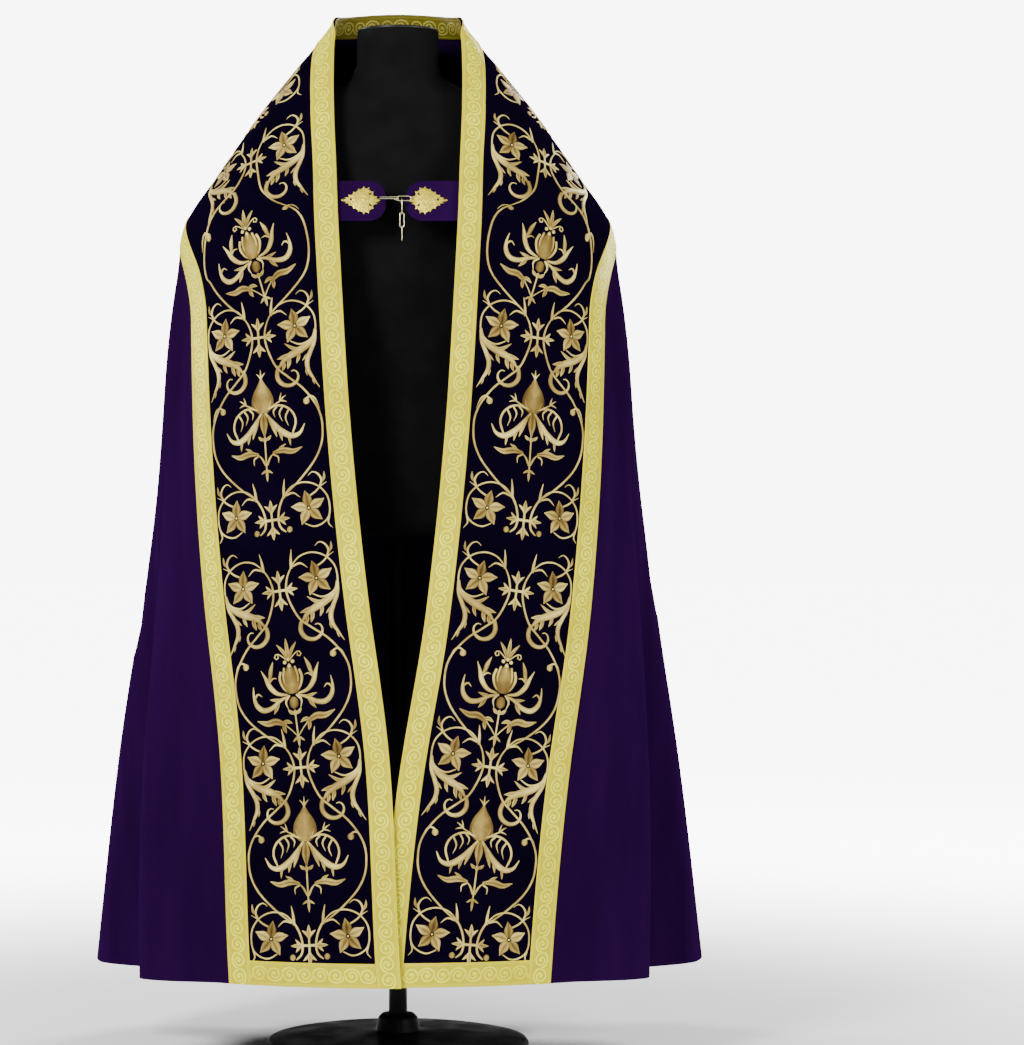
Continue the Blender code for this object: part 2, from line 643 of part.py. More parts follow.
def build_tab(word, end, way):
    """A flat plate with two rounded corners at its free end."""
    curve = bpy.data.curves.new(f"clasp_tab_{word}", "CURVE")
    curve.dimensions = "2D"
    curve.fill_mode = "BOTH"
    curve.extrude = TAB_THICK / 2
    length = TAB_HIDDEN_END - abs(end)
    half = TAB_HEIGHT / 2
    points = [(-length, -half)]
    for centre_y, angles in ((TAB_ROUND - half, (-90, 0)), (half - TAB_ROUND, (0, 90))):
        for angle in np.radians(np.linspace(*angles, 7)):
            points.append((-TAB_ROUND + TAB_ROUND * math.cos(angle), centre_y + TAB_ROUND * math.sin(angle)))
    points.append((-length, half))
    spline = curve.splines.new("POLY")
    spline.points.add(len(points) - 1)
    for point, (x, y) in zip(spline.points, points):
        point.co = (way * x, y, 0, 1)
    spline.use_cyclic_u = True
    add_object(curve.name, curve, "violet_cloth", clasp_matrix(end, TAB_FACE - TAB_THICK / 2))


def build_brooch(word, x):
    """A pointed oval with a lobed edge and a raised middle, as rings about its own centre."""
    # share of the edge outline, height, depth of the lobes
    rings = ((1.00, 0.0, 0.06), (1.00, 0.0016, 0.06), (0.80, 0.0022, 0.04), (0.66, 0.0040, 0.0),
             (0.34, 0.0042, 0.0), (0.22, BROOCH_HEIGHT, 0.0))
    sides = 2 * BROOCH_LOBES
    brooch = bmesh.new()
    loops = []
    for share, height, lobes in rings:
        loop = []
        for k in range(sides):
            angle = 2 * math.pi * k / sides
            pointed = 1 + 0.06 * math.cos(4 * angle) * math.cos(angle) ** 2
            radius = share * pointed * (1 + (lobes if k % 2 == 0 else -lobes))
            loop.append(brooch.verts.new((
                BROOCH_HALF_LENGTH * radius * math.cos(angle) / 1.12,
                BROOCH_HALF_HEIGHT * radius * math.sin(angle) / 1.06,
                height,
            )))
        loops.append(loop)
    for lower, upper in zip(loops, loops[1:]):
        for k in range(sides):
            following = (k + 1) % sides
            brooch.faces.new((lower[k], lower[following], upper[following], upper[k]))
    brooch.faces.new(loops[0][::-1])
    brooch.faces.new(loops[-1])
    finish_mesh(f"brooch_{word}", brooch, "brooch_gold", matrix=clasp_matrix(x, TAB_FACE + SEAM_GAP))


def wire(name, points, closed, matrix):
    curve = bpy.data.curves.new(name, "CURVE")
    curve.dimensions = "3D"
    curve.bevel_depth = WIRE_RADIUS
    curve.bevel_resolution = 1
    curve.use_fill_caps = not closed
    spline = curve.splines.new("POLY")
    spline.points.add(len(points) - 1)
    for point, place_at in zip(spline.points, points):
        point.co = (*place_at, 1)
    spline.use_cyclic_u = closed
    return add_object(name, curve, "steel", matrix)


def link_points(half_length_of_link, half_width):
    """A stadium in the local x, y plane, long along y."""
    straight = half_length_of_link - half_width
    points = []
    for centre, start in ((straight, 0.0), (-straight, math.pi)):
        for k in range(6):
            angle = start + math.pi * k / 5
            points.append((half_width * math.cos(angle), centre + half_width * math.sin(angle), 0.0))
    return points


def build_clasp():
    build_tab("left", LEFT_TAB_END, 1)
    build_tab("right", RIGHT_TAB_END, -1)
    build_brooch("left", LEFT_BROOCH_X)
    build_brooch("right", RIGHT_BROOCH_X)
    eye_half_length, eye_half_width, eye_out = 0.0105, 0.0036, 0.0022
    eye_x = RIGHT_TAB_END - 0.0030
    eye = [(y, x, z) for x, y, z in link_points(eye_half_length, eye_half_width)]
    wire("clasp_eye", eye, True, clasp_matrix(eye_x, eye_out))
    bar_x = eye_x - eye_half_length
    over = eye_out + 2 * WIRE_RADIUS + LINK_PLAY
    below = eye_out - 2 * WIRE_RADIUS - LINK_PLAY
    reach = 2 * WIRE_RADIUS + LINK_PLAY + 0.0003
    hook = [(LEFT_BROOCH_X + BROOCH_HALF_LENGTH - 0.001, over), (bar_x - reach, over + 0.0004),
            (bar_x, over + 0.0005), (bar_x + reach * 0.8, over - 0.0006), (bar_x + reach, eye_out),
            (bar_x + reach * 0.8, below + 0.0006), (bar_x, below - 0.0002), (bar_x - reach, below)]
    wire("clasp_hook", [(x, 0.0, z) for x, z in hook], False, clasp_matrix())
    # The chain hangs straight down from the lower side of the eye, its links turned by turns.
    hang = clasp_matrix(bar_x + 2 * eye_half_width, eye_out) @ Vector((0, -eye_half_width, 0))
    bite = 2 * WIRE_RADIUS + LINK_PLAY
    top = hang.z + bite
    for k in range(3):
        upright = Matrix.Rotation(math.pi / 2, 4, "X")
        quarter = Matrix.Rotation(math.pi / 2 * ((k + 1) % 2), 4, "Z")
        matrix = Matrix.Translation((hang.x, hang.y, top - LINK_HALF_LENGTH)) @ quarter @ upright
        wire(f"chain_link_{k + 1}", link_points(LINK_HALF_LENGTH, LINK_HALF_WIDTH), True, matrix)
        top = top - 2 * LINK_HALF_LENGTH + bite + WIRE_RADIUS * 0.25


# ------------------------------------------------------------------ the dress form
def form_ring(row, steps=FORM_SIDES):
    at = dict(zip(FORM_COLUMNS, row))
    ring = []
    for k in range(steps):
        angle = 2 * math.pi * k / steps
        x, y = math.sin(angle), -math.cos(angle)
        squareness = 2 / 2.25
        x = math.copysign(abs(x) ** squareness, x) * at["half_width"]
        y = math.copysign(abs(y) ** squareness, y) * (at["front"] if y < 0 else at["back"])
        ring.append((x, y, at["z"]))
    return ring


def build_form():
    torso = bmesh.new()
    loops = [[torso.verts.new(p) for p in form_ring(row)] for row in FORM_SECTIONS]
    for lower, upper in zip(loops, loops[1:]):
        for k in range(FORM_SIDES):
            following = (k + 1) % FORM_SIDES
            torso.faces.new((lower[k], lower[following], upper[following], upper[k]))
    torso.faces.new(loops[0][::-1])
    torso.faces.new(loops[-1])
    finish_mesh("form_torso", torso, "jersey")

    neck_z, neck_radius = FORM_SECTIONS[-1][0], FORM_SECTIONS[-1][1]
    cap = bmesh.new()
    bmesh.ops.create_cone(
        cap, cap_ends=True, segments=FORM_SIDES,
        radius1=neck_radius, radius2=neck_radius - 0.0015, depth=NECK_CAP_THICK,
        matrix=Matrix.Translation((0, 0, neck_z + SEAM_GAP + NECK_CAP_THICK / 2)),
    )
    finish_mesh("form_neck_cap", cap, "black_metal")

    pole_foot, pole_top = BASE_BOSS_TOP + SEAM_GAP, FORM_SECTIONS[0][0] - SEAM_GAP
    pole = bmesh.new()
    bmesh.ops.create_cone(
        pole, cap_ends=True, segments=20,
        radius1=POLE_RADIUS, radius2=POLE_RADIUS, depth=pole_top - pole_foot,
        matrix=Matrix.Translation((0, 0, (pole_foot + pole_top) / 2)),
    )
    finish_mesh("form_pole", pole, "black_metal")

    # The base is turned: its profile at +X runs from the top of the boss down the outer side.
    profile = [
        (0.0, BASE_BOSS_TOP), (BASE_BOSS_RADIUS - 0.006, BASE_BOSS_TOP),
        (BASE_BOSS_RADIUS, BASE_BOSS_TOP - 0.006), (BASE_BOSS_RADIUS + 0.004, 0.024),
        (BASE_RADIUS - 0.020, 0.015), (BASE_RADIUS - 0.004, BASE_EDGE),
        (BASE_RADIUS, BASE_EDGE - 0.005), (BASE_RADIUS, 0.0), (0.0, 0.0),
    ]
    mesh = bpy.data.meshes.new("form_base")
    mesh.from_pydata([(x, 0, z) for x, z in profile], [(k, k + 1) for k in range(len(profile) - 1)], [])
    base = add_object("form_base", mesh, "black_metal")
    screw = base.modifiers.new("turned", "SCREW")
    screw.steps = screw.render_steps = 40
    screw.use_merge_vertices = True
    screw.merge_threshold = 0.0001
    screw.use_smooth_shade = True


build_orphreys()
build_body()
build_hood()
build_fringe()
build_clasp()
build_form()
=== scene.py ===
# %% [markdown]
# # A cope worn on a dress form
#
# A cope is a long open cloak. A broad band of velvet, the orphrey, runs up both fronts and across the
# shoulders, and woven gold braid, the galloon, covers every edge. This lesson dresses a plain solid model:
# it loads the solids, lays fine cloth, braid, fringe and embroidery over them, and sets light and camera.

# %% Load the solids
import json
import math
import random

import bmesh
import bpy
import numpy as np
from mathutils import Matrix, Vector

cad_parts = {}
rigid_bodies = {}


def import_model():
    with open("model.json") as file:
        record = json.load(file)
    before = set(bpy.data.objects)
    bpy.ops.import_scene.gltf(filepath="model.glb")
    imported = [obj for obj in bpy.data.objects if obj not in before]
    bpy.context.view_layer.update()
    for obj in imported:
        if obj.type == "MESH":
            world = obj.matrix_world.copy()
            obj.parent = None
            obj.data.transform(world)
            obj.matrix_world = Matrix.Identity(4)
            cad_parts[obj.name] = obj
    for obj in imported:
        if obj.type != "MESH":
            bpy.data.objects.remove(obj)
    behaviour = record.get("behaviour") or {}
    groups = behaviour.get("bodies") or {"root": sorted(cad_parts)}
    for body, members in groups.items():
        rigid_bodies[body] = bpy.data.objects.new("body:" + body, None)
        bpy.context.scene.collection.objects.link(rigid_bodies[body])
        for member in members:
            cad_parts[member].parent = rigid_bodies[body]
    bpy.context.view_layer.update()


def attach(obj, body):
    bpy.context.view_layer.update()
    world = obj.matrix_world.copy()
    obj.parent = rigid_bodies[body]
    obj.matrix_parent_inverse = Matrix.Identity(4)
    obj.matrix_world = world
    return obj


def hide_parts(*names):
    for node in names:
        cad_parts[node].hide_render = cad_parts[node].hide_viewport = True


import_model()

def rounded(values):
    return [round(float(value), 3) for value in values]


# %% [markdown]
# ## The camera
#
# A long lens from five metres away keeps the sides of the cope nearly parallel. The cope stands left of
# the middle of the frame: a lens shift does that without turning the camera, which would show one side.

# %% Camera
CAMERA_DISTANCE = 5.0
CAMERA_HEIGHT = 0.80
FRAME_PIXELS = (1024, 1045)       # width and height of the frame
METRES_PER_PIXEL = 0.00153        # in the plane of the pole
POLE_PIXEL_X = 398


def place_in_scene(name, data):
    made = bpy.data.objects.new(name, data)
    bpy.context.scene.collection.objects.link(made)
    return made


def add_disc(corners, radius, mapped=True):
    bpy.ops.object.select_all(action="DESELECT")
    bpy.ops.mesh.primitive_circle_add(vertices=corners, radius=radius, fill_type="NGON", calc_uvs=mapped,
                                      location=(0, 0, 0))
    return bpy.context.active_object


lens_data = bpy.data.cameras.new("studio_camera")
lens_data.sensor_width = 36.0
lens_data.lens = 36.0 * CAMERA_DISTANCE / (FRAME_PIXELS[1] * METRES_PER_PIXEL)
lens_data.shift_x = (FRAME_PIXELS[0] / 2 - POLE_PIXEL_X) / FRAME_PIXELS[1]
camera = place_in_scene("studio_camera", lens_data)
camera.location = (0.0, -CAMERA_DISTANCE, CAMERA_HEIGHT)
camera.rotation_euler = (math.pi / 2, 0.0, 0.0)
bpy.context.scene.camera = camera
print("lens:", round(lens_data.lens, 1), "mm, shift:", round(lens_data.shift_x, 3))

# %% [markdown]
# ## Wiring shaders
#
# Every look here is a formula made of nodes. A Value is what a node gives, and arithmetic with Values adds
# the nodes that work it out, so a formula reads like one.

# %% Helpers that wire nodes
UV_MAP = "cloth_metres"


class Value:
    """What a node gives."""

    def __init__(self, wiring, socket):
        self.wiring, self.socket = wiring, socket

    def maths(self, operation, *others):
        return self.wiring.value("ShaderNodeMath", self, *others, operation=operation)

    def __add__(self, other):
        return self.maths("ADD", other)

    def __sub__(self, other):
        return self.maths("SUBTRACT", other)

    def __rsub__(self, other):
        return self.maths("MULTIPLY_ADD", -1.0, other)

    def __mul__(self, other):
        return self.maths("MULTIPLY", other)

    def __truediv__(self, other):
        return self.maths("DIVIDE", other)

    def __mod__(self, other):
        return self.maths("FLOORED_MODULO", other)

    def __abs__(self):
        return self.maths("ABSOLUTE")

    def below(self, edge, soft):
        """1 where the value is under the edge, 0 above it, soft between."""
        return self.wiring.value("ShaderNodeMapRange", self, edge - soft, edge + soft, 1.0, 0.0,
                                 interpolation_type="SMOOTHSTEP")


class Wiring:
    """Adds nodes to a tree and links them."""

    def __init__(self, tree):
        self.tree = tree

    def give(self, socket, value):
        if isinstance(value, Value):
            self.tree.links.new(value.socket, socket)
        elif value is not None:
            socket.default_value = value

    def node(self, kind, *values, **settings):
        made = self.tree.nodes.new(kind)
        for name, setting in settings.items():
            setattr(made, name, setting)
        for socket, value in zip(made.inputs, values):
            self.give(socket, value)
        return made

    def value(self, kind, *values, output=0, **settings):
        return Value(self, self.node(kind, *values, **settings).outputs[output])

    def mix(self, share, first, second):
        unused = [None] * 5
        return self.value("ShaderNodeMix", share, *unused, first, second, output=2, data_type="RGBA")

    def uv(self):
        return self.value("ShaderNodeUVMap", uv_map=UV_MAP)

    def object_place(self):
        return self.value("ShaderNodeTexCoord", output="Object")

    def noise(self, vector, scale, detail=2.0):
        return self.value("ShaderNodeTexNoise", vector, None, scale, detail)

    def effect(self, tree, *values):
        """The outputs of a shared node group, used here with its own values."""
        made = self.node("ShaderNodeGroup", node_tree=tree)
        for socket, value in zip(made.inputs, values):
            self.give(socket, value)
        return {socket.name: Value(self, socket) for socket in made.outputs}


def colour(red, green, blue):
    return (red, green, blue, 1.0)


def new_material(name, **constants):
    """A material with its Principled shader's constants set: itself, its wiring and its shader."""
    made = bpy.data.materials.new(name)
    made.use_nodes = True
    shader = made.node_tree.nodes["Principled BSDF"]
    for socket, value in constants.items():
        shader.inputs[socket.replace("_", " ").title().replace("Ior", "IOR")].default_value = value
    return made, Wiring(made.node_tree), shader


print("nodes are wired with", [name for name in vars(Wiring) if not name.startswith("_")])

# %% [markdown]
# ## The floor and the light
#
# The floor is a wide pale disc in a white world. Seen by the camera the world is bright, but as a light it
# is dim: an even white light from all sides would turn dark cloth grey. Away from the stand the floor glows
# for the camera alone, so it runs into the white without a horizon. Velvet shows its nap only where light
# comes from the side, so two of the four lamps stand behind it.

# %% Floor
FLOOR_RADIUS = 40.0
SKY_SEEN, SKY_LIGHT = 8.0, 0.18   # strength of the white, for the camera and as a light
GLOW_START, GLOW_FULL = 0.5, 3.4  # metres from the pole

floor = add_disc(96, FLOOR_RADIUS)
floor.name = floor.data.name = "studio_floor"
floor_paint, w, shader = new_material("studio_floor_paint", base_color=colour(0.86, 0.86, 0.86),
                                      emission_color=colour(1.0, 1.0, 1.0), roughness=0.8)
from_pole = w.value("ShaderNodeVectorMath", w.object_place(), output="Value", operation="LENGTH")
glow = w.value("ShaderNodeMapRange", from_pole, GLOW_START, GLOW_FULL, 0.0, SKY_SEEN,
               interpolation_type="SMOOTHERSTEP")
w.give(shader.inputs["Emission Strength"], glow * w.value("ShaderNodeLightPath", output="Is Camera Ray"))
floor.data.materials.append(floor_paint)
print("floor:", FLOOR_RADIUS, "m")

# %% World and lamps
LAMPS = {                         # place, aim, size across, power in watts
    "key_lamp": ((-2.4, -3.6, 3.0), (0, 0, 0.9), 1.6, 370),
    "fill_lamp": ((3.3, -2.9, 2.0), (0, 0, 0.8), 2.2, 180),
    "back_left_lamp": ((-3.4, 2.2, 3.0), (0, 0, 0.9), 1.4, 170),
    "back_right_lamp": ((2.6, 3.4, 3.0), (0, 0, 0.9), 1.4, 300),
}

world = bpy.data.worlds.new("studio_world")
bpy.context.scene.world = world
world.use_nodes = True
sky = world.node_tree.nodes["Background"]
sky.inputs["Color"].default_value = colour(1.0, 1.0, 1.0)
w = Wiring(world.node_tree)
seen = w.value("ShaderNodeLightPath", output="Is Camera Ray")
w.give(sky.inputs["Strength"], w.value("ShaderNodeMapRange", seen, 0.0, 1.0, SKY_LIGHT, SKY_SEEN))
for lamp_name, (place, aim, size, power) in LAMPS.items():
    lamp_data = bpy.data.lights.new(lamp_name, "AREA")
    lamp_data.shape = "DISK"
    lamp_data.size = size
    lamp_data.energy = power
    lamp = place_in_scene(lamp_name, lamp_data)
    lamp.location = place
    lamp.rotation_euler = (Vector(aim) - Vector(place)).to_track_quat("-Z", "Y").to_euler()
print("lamps:", len(LAMPS))

# %% [markdown]
# ## The worn surface
#
# Everything sewn lies on one surface: the cope as it is worn. A cloth simulation could find it, but then
# braid and embroidery would have to fit a result that nobody can predict. Here it is worked out from a
# short table of outlines, the same as the solids', with the long folds on top. A point is named by its half
# (left is -1, right is +1), its level z, and g, its distance from the centre back along that level.

# %% The cope's sizes, in metres
SIDES = ((-1, "left"), (1, "right"))
HEM_Z = 0.130
COLLAR_Z = 1.575
YOKE_Z = 1.262
ORPHREY_WIDTH = 0.257
GALLOON_WIDTH = 0.035
SEAM_GAP = 0.0003
BODY_THICK = 0.0016
ORPHREY_THICK = 0.0025
GALLOON_THICK = 0.0012
LAP_TOP_Z, LAP_FULL_Z, LAP_DEPTH, LAP_SHIFT = 0.640, 0.430, 0.0040, 0.0125


def numbers(text):
    """A table of numbers, one row a line."""
    return np.array([row.split() for row in text.strip().splitlines()], float)


# z, half width, x and y of the front edge, y of the side, y of the back, rise of the back
SECTIONS = numbers("""
0.130 0.456 -.0175 -.300 .030 .325 .000
0.450 0.425 0.0080 -.277 .025 .288 .000
0.680 0.395 0.0420 -.252 .020 .254 .000
0.950 0.364 0.0700 -.220 .012 .216 .008
1.170 0.338 0.0840 -.188 .005 .188 .034
1.262 0.320 0.0890 -.168 .000 .174 .046
1.335 0.270 0.0920 -.140 .000 .158 .045
1.420 0.211 0.0960 -.100 .000 .138 .035
1.490 0.155 0.0970 -.062 .000 .116 .025
1.530 0.123 0.0960 -.038 .000 .102 .018
1.555 0.103 0.0930 -.020 .000 .092 .015
1.575 0.094 0.0900 -.008 .000 .085 .015
""")
FOLD_COLUMNS = ("hem_angle", "top_angle", "half_width", "push_left", "push_right", "top_z", "columns")
FOLDS = [dict(zip(FOLD_COLUMNS, row)) for row in numbers("""
 61  76 15 0.034 0.030 1.08 3
 75  90 14 -.068 -.061 1.08 3
 99 109 15 0.009 0.015 1.10 4
125 132 12 -.066 -.070 0.98 5
138 144 13 0.062 0.056 0.98 3
157 159 11 -.012 -.018 0.70 4
""")]
print("length of the cope:", COLLAR_Z - HEM_Z)

# %% [markdown]
# The folds above are the big ones. Each row of the next table is a small soft crease, a trough or ridge
# that follows a line and fades at both ends. They are placed unevenly. The last eight are broad.

# %% Small creases: half, foot z and g, top z and g, width, depth (out is positive)
CREASES = numbers("""
-1 .13 .56 .62 .52 .016 .006
-1 .13 .612 .48 .566 .013 -.005
-1 .24 .468 .95 .44 .019 .0045
-1 .13 .395 .5 .372 .015 -.005
-1 .6 .52 1.06 .47 .018 -.004
-1 .78 .36 1.2 .33 .016 -.0035
-1 .13 .06 .66 .052 .018 .0055
-1 .13 .128 .44 .118 .013 -.0045
-1 .2 .222 .58 .205 .012 .004
1 .13 .572 .7 .508 .017 .0055
1 .13 .48 .4 .452 .014 -.0055
1 .3 .43 1.02 .418 .018 .0045
1 .13 .372 .62 .352 .015 .0045
1 .66 .486 1.1 .452 .017 -.004
1 .82 .345 1.19 .312 .015 -.003
1 .13 .045 .52 .04 .015 -.005
1 .13 .098 .72 .086 .018 .005
1 .18 .21 .5 .19 .012 -.004
-1 .13 .094 .98 .07 .034 -.013
-1 .13 .178 .86 .128 .027 .0085
-1 .13 .33 1.08 .262 .03 .01
-1 .2 .5 1.14 .418 .028 -.008
1 .13 .124 1 .086 .036 -.012
1 .13 .205 .84 .142 .026 .009
1 .13 .305 1.04 .248 .031 -.0095
1 .2 .52 1.12 .43 .029 .008
""")
print("creases:", len(CREASES))

# %% Smooth curves through the table
def smooth_curve(xs, ys, x):
    """A smooth curve through the points (xs, ys), read at every x."""
    xs, ys = np.asarray(xs, float), np.asarray(ys, float)
    slope = np.gradient(ys, xs)
    i = np.clip(np.searchsorted(xs, x) - 1, 0, len(xs) - 2)
    step = xs[i + 1] - xs[i]
    t = (x - xs[i]) / step
    from_first = (2 * t**3 - 3 * t**2 + 1) * ys[i] + (t**3 - 2 * t**2 + t) * step * slope[i]
    return from_first + (3 * t**2 - 2 * t**3) * ys[i + 1] + (t**3 - t**2) * step * slope[i + 1]


def ease(t):
    t = np.clip(t, 0.0, 1.0)
    return t * t * (3 - 2 * t)


def unit(ways):
    """The same directions, all of length 1."""
    return ways / np.linalg.norm(ways, axis=-1, keepdims=True)


def travelled(points):
    """The distance along each line of points."""
    steps = np.linalg.norm(np.diff(points, axis=-2), axis=-1)
    return np.concatenate([np.zeros((*steps.shape[:-1], 1)), np.cumsum(steps, axis=-1)], axis=-1)


print("half width at the knee:", round(float(smooth_curve(SECTIONS[:, 0], SECTIONS[:, 1], 0.5)), 3))

# %% The outline of every level
OUTLINE_STEPS = 200


def fold_angle(fold, z):
    up = np.minimum((z - HEM_Z) / (fold["top_z"] - HEM_Z), 1.0)
    return fold["hem_angle"] + (fold["top_angle"] - fold["hem_angle"]) * up


def half_outlines(side, z):
    """Half of each level, as points from the centre back to the front edge."""
    half_width, edge_x, edge_y, side_y, back_y, back_rise = (
        smooth_curve(SECTIONS[:, 0], column, z)[:, None] for column in SECTIONS.T[1:]
    )
    z = z[:, None]
    edge_x = edge_x - side * LAP_SHIFT * ease((LAP_TOP_Z - z) / (LAP_TOP_Z - HEM_Z))
    edge_y = edge_y + side * LAP_DEPTH * ease((LAP_TOP_Z - z) / (LAP_TOP_Z - LAP_FULL_Z))
    back = np.linspace(math.pi / 2, 0, OUTLINE_STEPS, endpoint=False)[None]
    front = np.linspace(math.pi / 2, 0, OUTLINE_STEPS + 1)[None]
    x = np.hstack([half_width * np.cos(back), edge_x + (half_width - edge_x) * np.sin(front)])
    y = np.hstack([side_y + (back_y - side_y) * np.sin(back), side_y + (edge_y - side_y) * np.cos(front)])
    rise = np.hstack([back_rise * np.sin(back) ** 2, np.zeros((len(z), front.shape[1]))])
    angle = np.degrees(np.arctan2(x, -y))
    push = np.zeros_like(x)
    for fold in FOLDS:
        near = np.clip(np.abs(angle - fold_angle(fold, z)) / fold["half_width"], 0, 1)
        depth = fold["push_left"] if side < 0 else fold["push_right"]
        fade = 1 - ease((z - HEM_Z) / (fold["top_z"] - HEM_Z))
        push += depth * fade * (0.5 + 0.5 * np.cos(math.pi * near))
    x = x + push * np.sin(np.radians(angle))
    y = y - push * np.cos(np.radians(angle))
    return np.stack([side * x, y, z + rise], axis=2)


print("points in a level:", half_outlines(1, np.array([0.5])).shape[1])

# %% [markdown]
# Each half of the surface is worked out once as a fine lattice: evenly spaced levels, each shared out
# evenly from the centre back to the front edge. Reading between its points is quick and smooth.

# %% Both halves as lattices
ROWS, COLUMNS = 482, 640
LEVELS = np.linspace(HEM_Z, COLLAR_Z, ROWS)


def crease_depth(side, z, g):
    depth = np.zeros_like(g)
    for _, foot_z, foot_g, top_z, top_g, width, deep in CREASES[CREASES[:, 0] == side]:
        along = (z - foot_z) / (top_z - foot_z)
        middle = foot_g + (top_g - foot_g) * along
        fade = ease(1.0 - along) * np.where(along < 0, 0, 1) * ease(1 + along * 6)
        depth += deep * fade * np.exp(-(((g - middle) / width) ** 2)) * (along <= 1)
    return depth


def surface_normals(side, points):
    return unit(side * np.cross(np.gradient(points, axis=0), np.gradient(points, axis=1)))


def make_lattice(side):
    outlines = half_outlines(side, LEVELS)
    distance = travelled(outlines)
    g = np.linspace(0, 1, COLUMNS)[None] * distance[:, -1:]
    points = np.empty((ROWS, COLUMNS, 3))
    for row in range(ROWS):
        for axis in range(3):
            points[row, :, axis] = np.interp(g[row], distance[row], outlines[row, :, axis])
    normals = surface_normals(side, points)
    points += normals * crease_depth(side, LEVELS[:, None], g)[..., None]
    return {"points": points, "normals": surface_normals(side, points), "lengths": distance[:, -1]}


SURFACE = {side: make_lattice(side) for side in (-1, 1)}
print("half the hem:", round(float(SURFACE[1]["lengths"][0]), 3), "m")

# %% Reading the surface
def half_length(side, z):
    return np.interp(z, LEVELS, SURFACE[side]["lengths"])


def read(side, table, row, column):
    """A table of the lattice, read between its rows and columns."""
    row = np.clip(row, 0, ROWS - 1.0001)
    column = np.clip(column, 0, COLUMNS - 1.0001)
    i, j = row.astype(int), column.astype(int)
    a, b = (row - i)[..., None], (column - j)[..., None]
    grid = SURFACE[side][table]
    low, high = (grid[k, j] * (1 - b) + grid[k, j + 1] * b for k in (i, i + 1))
    return low * (1 - a) + high * a


def lay(side, z, g, lift=0.0):
    """The points at levels z and distances g from the centre back, moved out by lift."""
    z, g = np.broadcast_arrays(np.asarray(z, float), np.asarray(g, float))
    place = (z - HEM_Z) / (COLLAR_Z - HEM_Z) * (ROWS - 1), g / half_length(side, z) * (COLUMNS - 1)
    return read(side, "points", *place) + unit(read(side, "normals", *place)) * np.asarray(lift)[..., None]


print("right front edge at the hem:", lay(1, HEM_Z, half_length(1, HEM_Z)).round(3))

# %% [markdown]
# ## Materials
#
# Each material is built from small effects: a weave, a pile, a row of satin stitches, the braid's scroll.
# An image texture could hold them, but a formula stays sharp at any distance. Each effect is a node group
# that several materials share. They read a UV map laid out in metres, so a thread has its true width.

# %% Threads, pile, stitches and slow change
def new_effect(name, formula, inputs, outputs):
    """A node group: the formula takes its wiring and its inputs, and gives its outputs."""
    tree = bpy.data.node_groups.new(name, "ShaderNodeTree")
    for socket in inputs:
        kind = "NodeSocketVector" if socket == "Place" else "NodeSocketFloat"
        tree.interface.new_socket(socket, in_out="INPUT", socket_type=kind)
    for socket in outputs:
        tree.interface.new_socket(socket, in_out="OUTPUT", socket_type="NodeSocketFloat")
    w = Wiring(tree)
    given = w.node("NodeGroupInput").outputs
    w.node("NodeGroupOutput", *formula(w, *(Value(w, given[socket]) for socket in inputs)))
    print(name, len(tree.nodes), "nodes")
    return tree


def across_and_along(w, place):
    sockets = w.node("ShaderNodeSeparateXYZ", place).outputs
    return Value(w, sockets[0]), Value(w, sockets[1])


def waves(distance, pitch):
    return (distance / pitch * (2 * math.pi)).maths("SINE")


def weave(w, place, pitch):
    """Slanting twill lines, with some threads thicker than others."""
    across, along = across_and_along(w, place)
    slub = w.noise(place, 420.0)
    height = waves(across + along, pitch) * 0.35 + (waves(across - along, pitch) * 0.15 + 0.5)
    # The tint follows the height: painted light, twill lines paler on their crests and darker in the grooves
    # between; thicker threads are paler, a random tone.
    return slub * 0.3 + height, slub * 0.6 + height * 0.4


def pile(w, place):
    """Velvet's fine standing threads, stroked into light and dark patches."""
    fine = w.noise(place, 2600.0, 1.0)
    patch_share = w.noise(place, 9.0).below(0.55, 0.30)
    return w.noise(place, 160.0, 1.0) * 0.4 + fine, fine * 0.35 + patch_share * 0.65


def satin_stitch(w, place, pitch):
    """Threads laid side by side across a shape."""
    across, along = across_and_along(w, place)
    wander = w.noise(place, 300.0, 1.0) * 0.0012
    thread = waves(along * 0.7 + across + wander, pitch)
    # The tint follows the threads: painted light, each thread paler on its crest and darker in the groove
    # beside the next; the finer noise is random tone.
    return thread * 0.5 + 0.5, thread * 0.18 + w.noise(place, 900.0, 1.0) * 0.9


def slow_change(w, place, scale):
    """A broad soft change: painted highlight streaks on the body cloth, handled metal, dust or random tone.
    """
    return (1.0 - w.noise(place, scale, 3.0).below(0.5, 0.2),)


WEAVE = new_effect("woven_threads", weave, ("Place", "Pitch"), ("Height", "Tint"))
PILE = new_effect("velvet_pile", pile, ("Place",), ("Height", "Tint"))
SATIN_STITCH = new_effect("satin_stitch", satin_stitch, ("Place", "Pitch"), ("Height", "Tint"))
SLOW_CHANGE = new_effect("slow_change", slow_change, ("Place", "Scale"), ("Share",))

# %% [markdown]
# The galloon's pattern is a running scroll: a stem winds from side to side, and in each bay a branch curls
# round and in. One bay is worked out, and the next is its mirror image. A point is known by its distance
# from the bay's middle and its angle, and a curl is where the two keep step.

# %% The braid's running scroll
BAY_LENGTH = 0.023                # along the braid
STEM_REACH = 0.0098               # how far the stem swings from the middle of the braid
CURL_START = 0.0098               # radius of a curl where it leaves the stem
CURL_PITCH = 0.0058               # how much nearer the middle each turn is
FIRST_TURN = -0.22                # the curl starts this part of a turn before the stem
STEM_HALF, CURL_HALF, BUD_RADIUS = 0.0011, 0.0010, 0.0017
LINE_AT, LINE_HALF, BORDER_AT = 0.0140, 0.0004, 0.0158
EDGE_SOFT = 0.0004


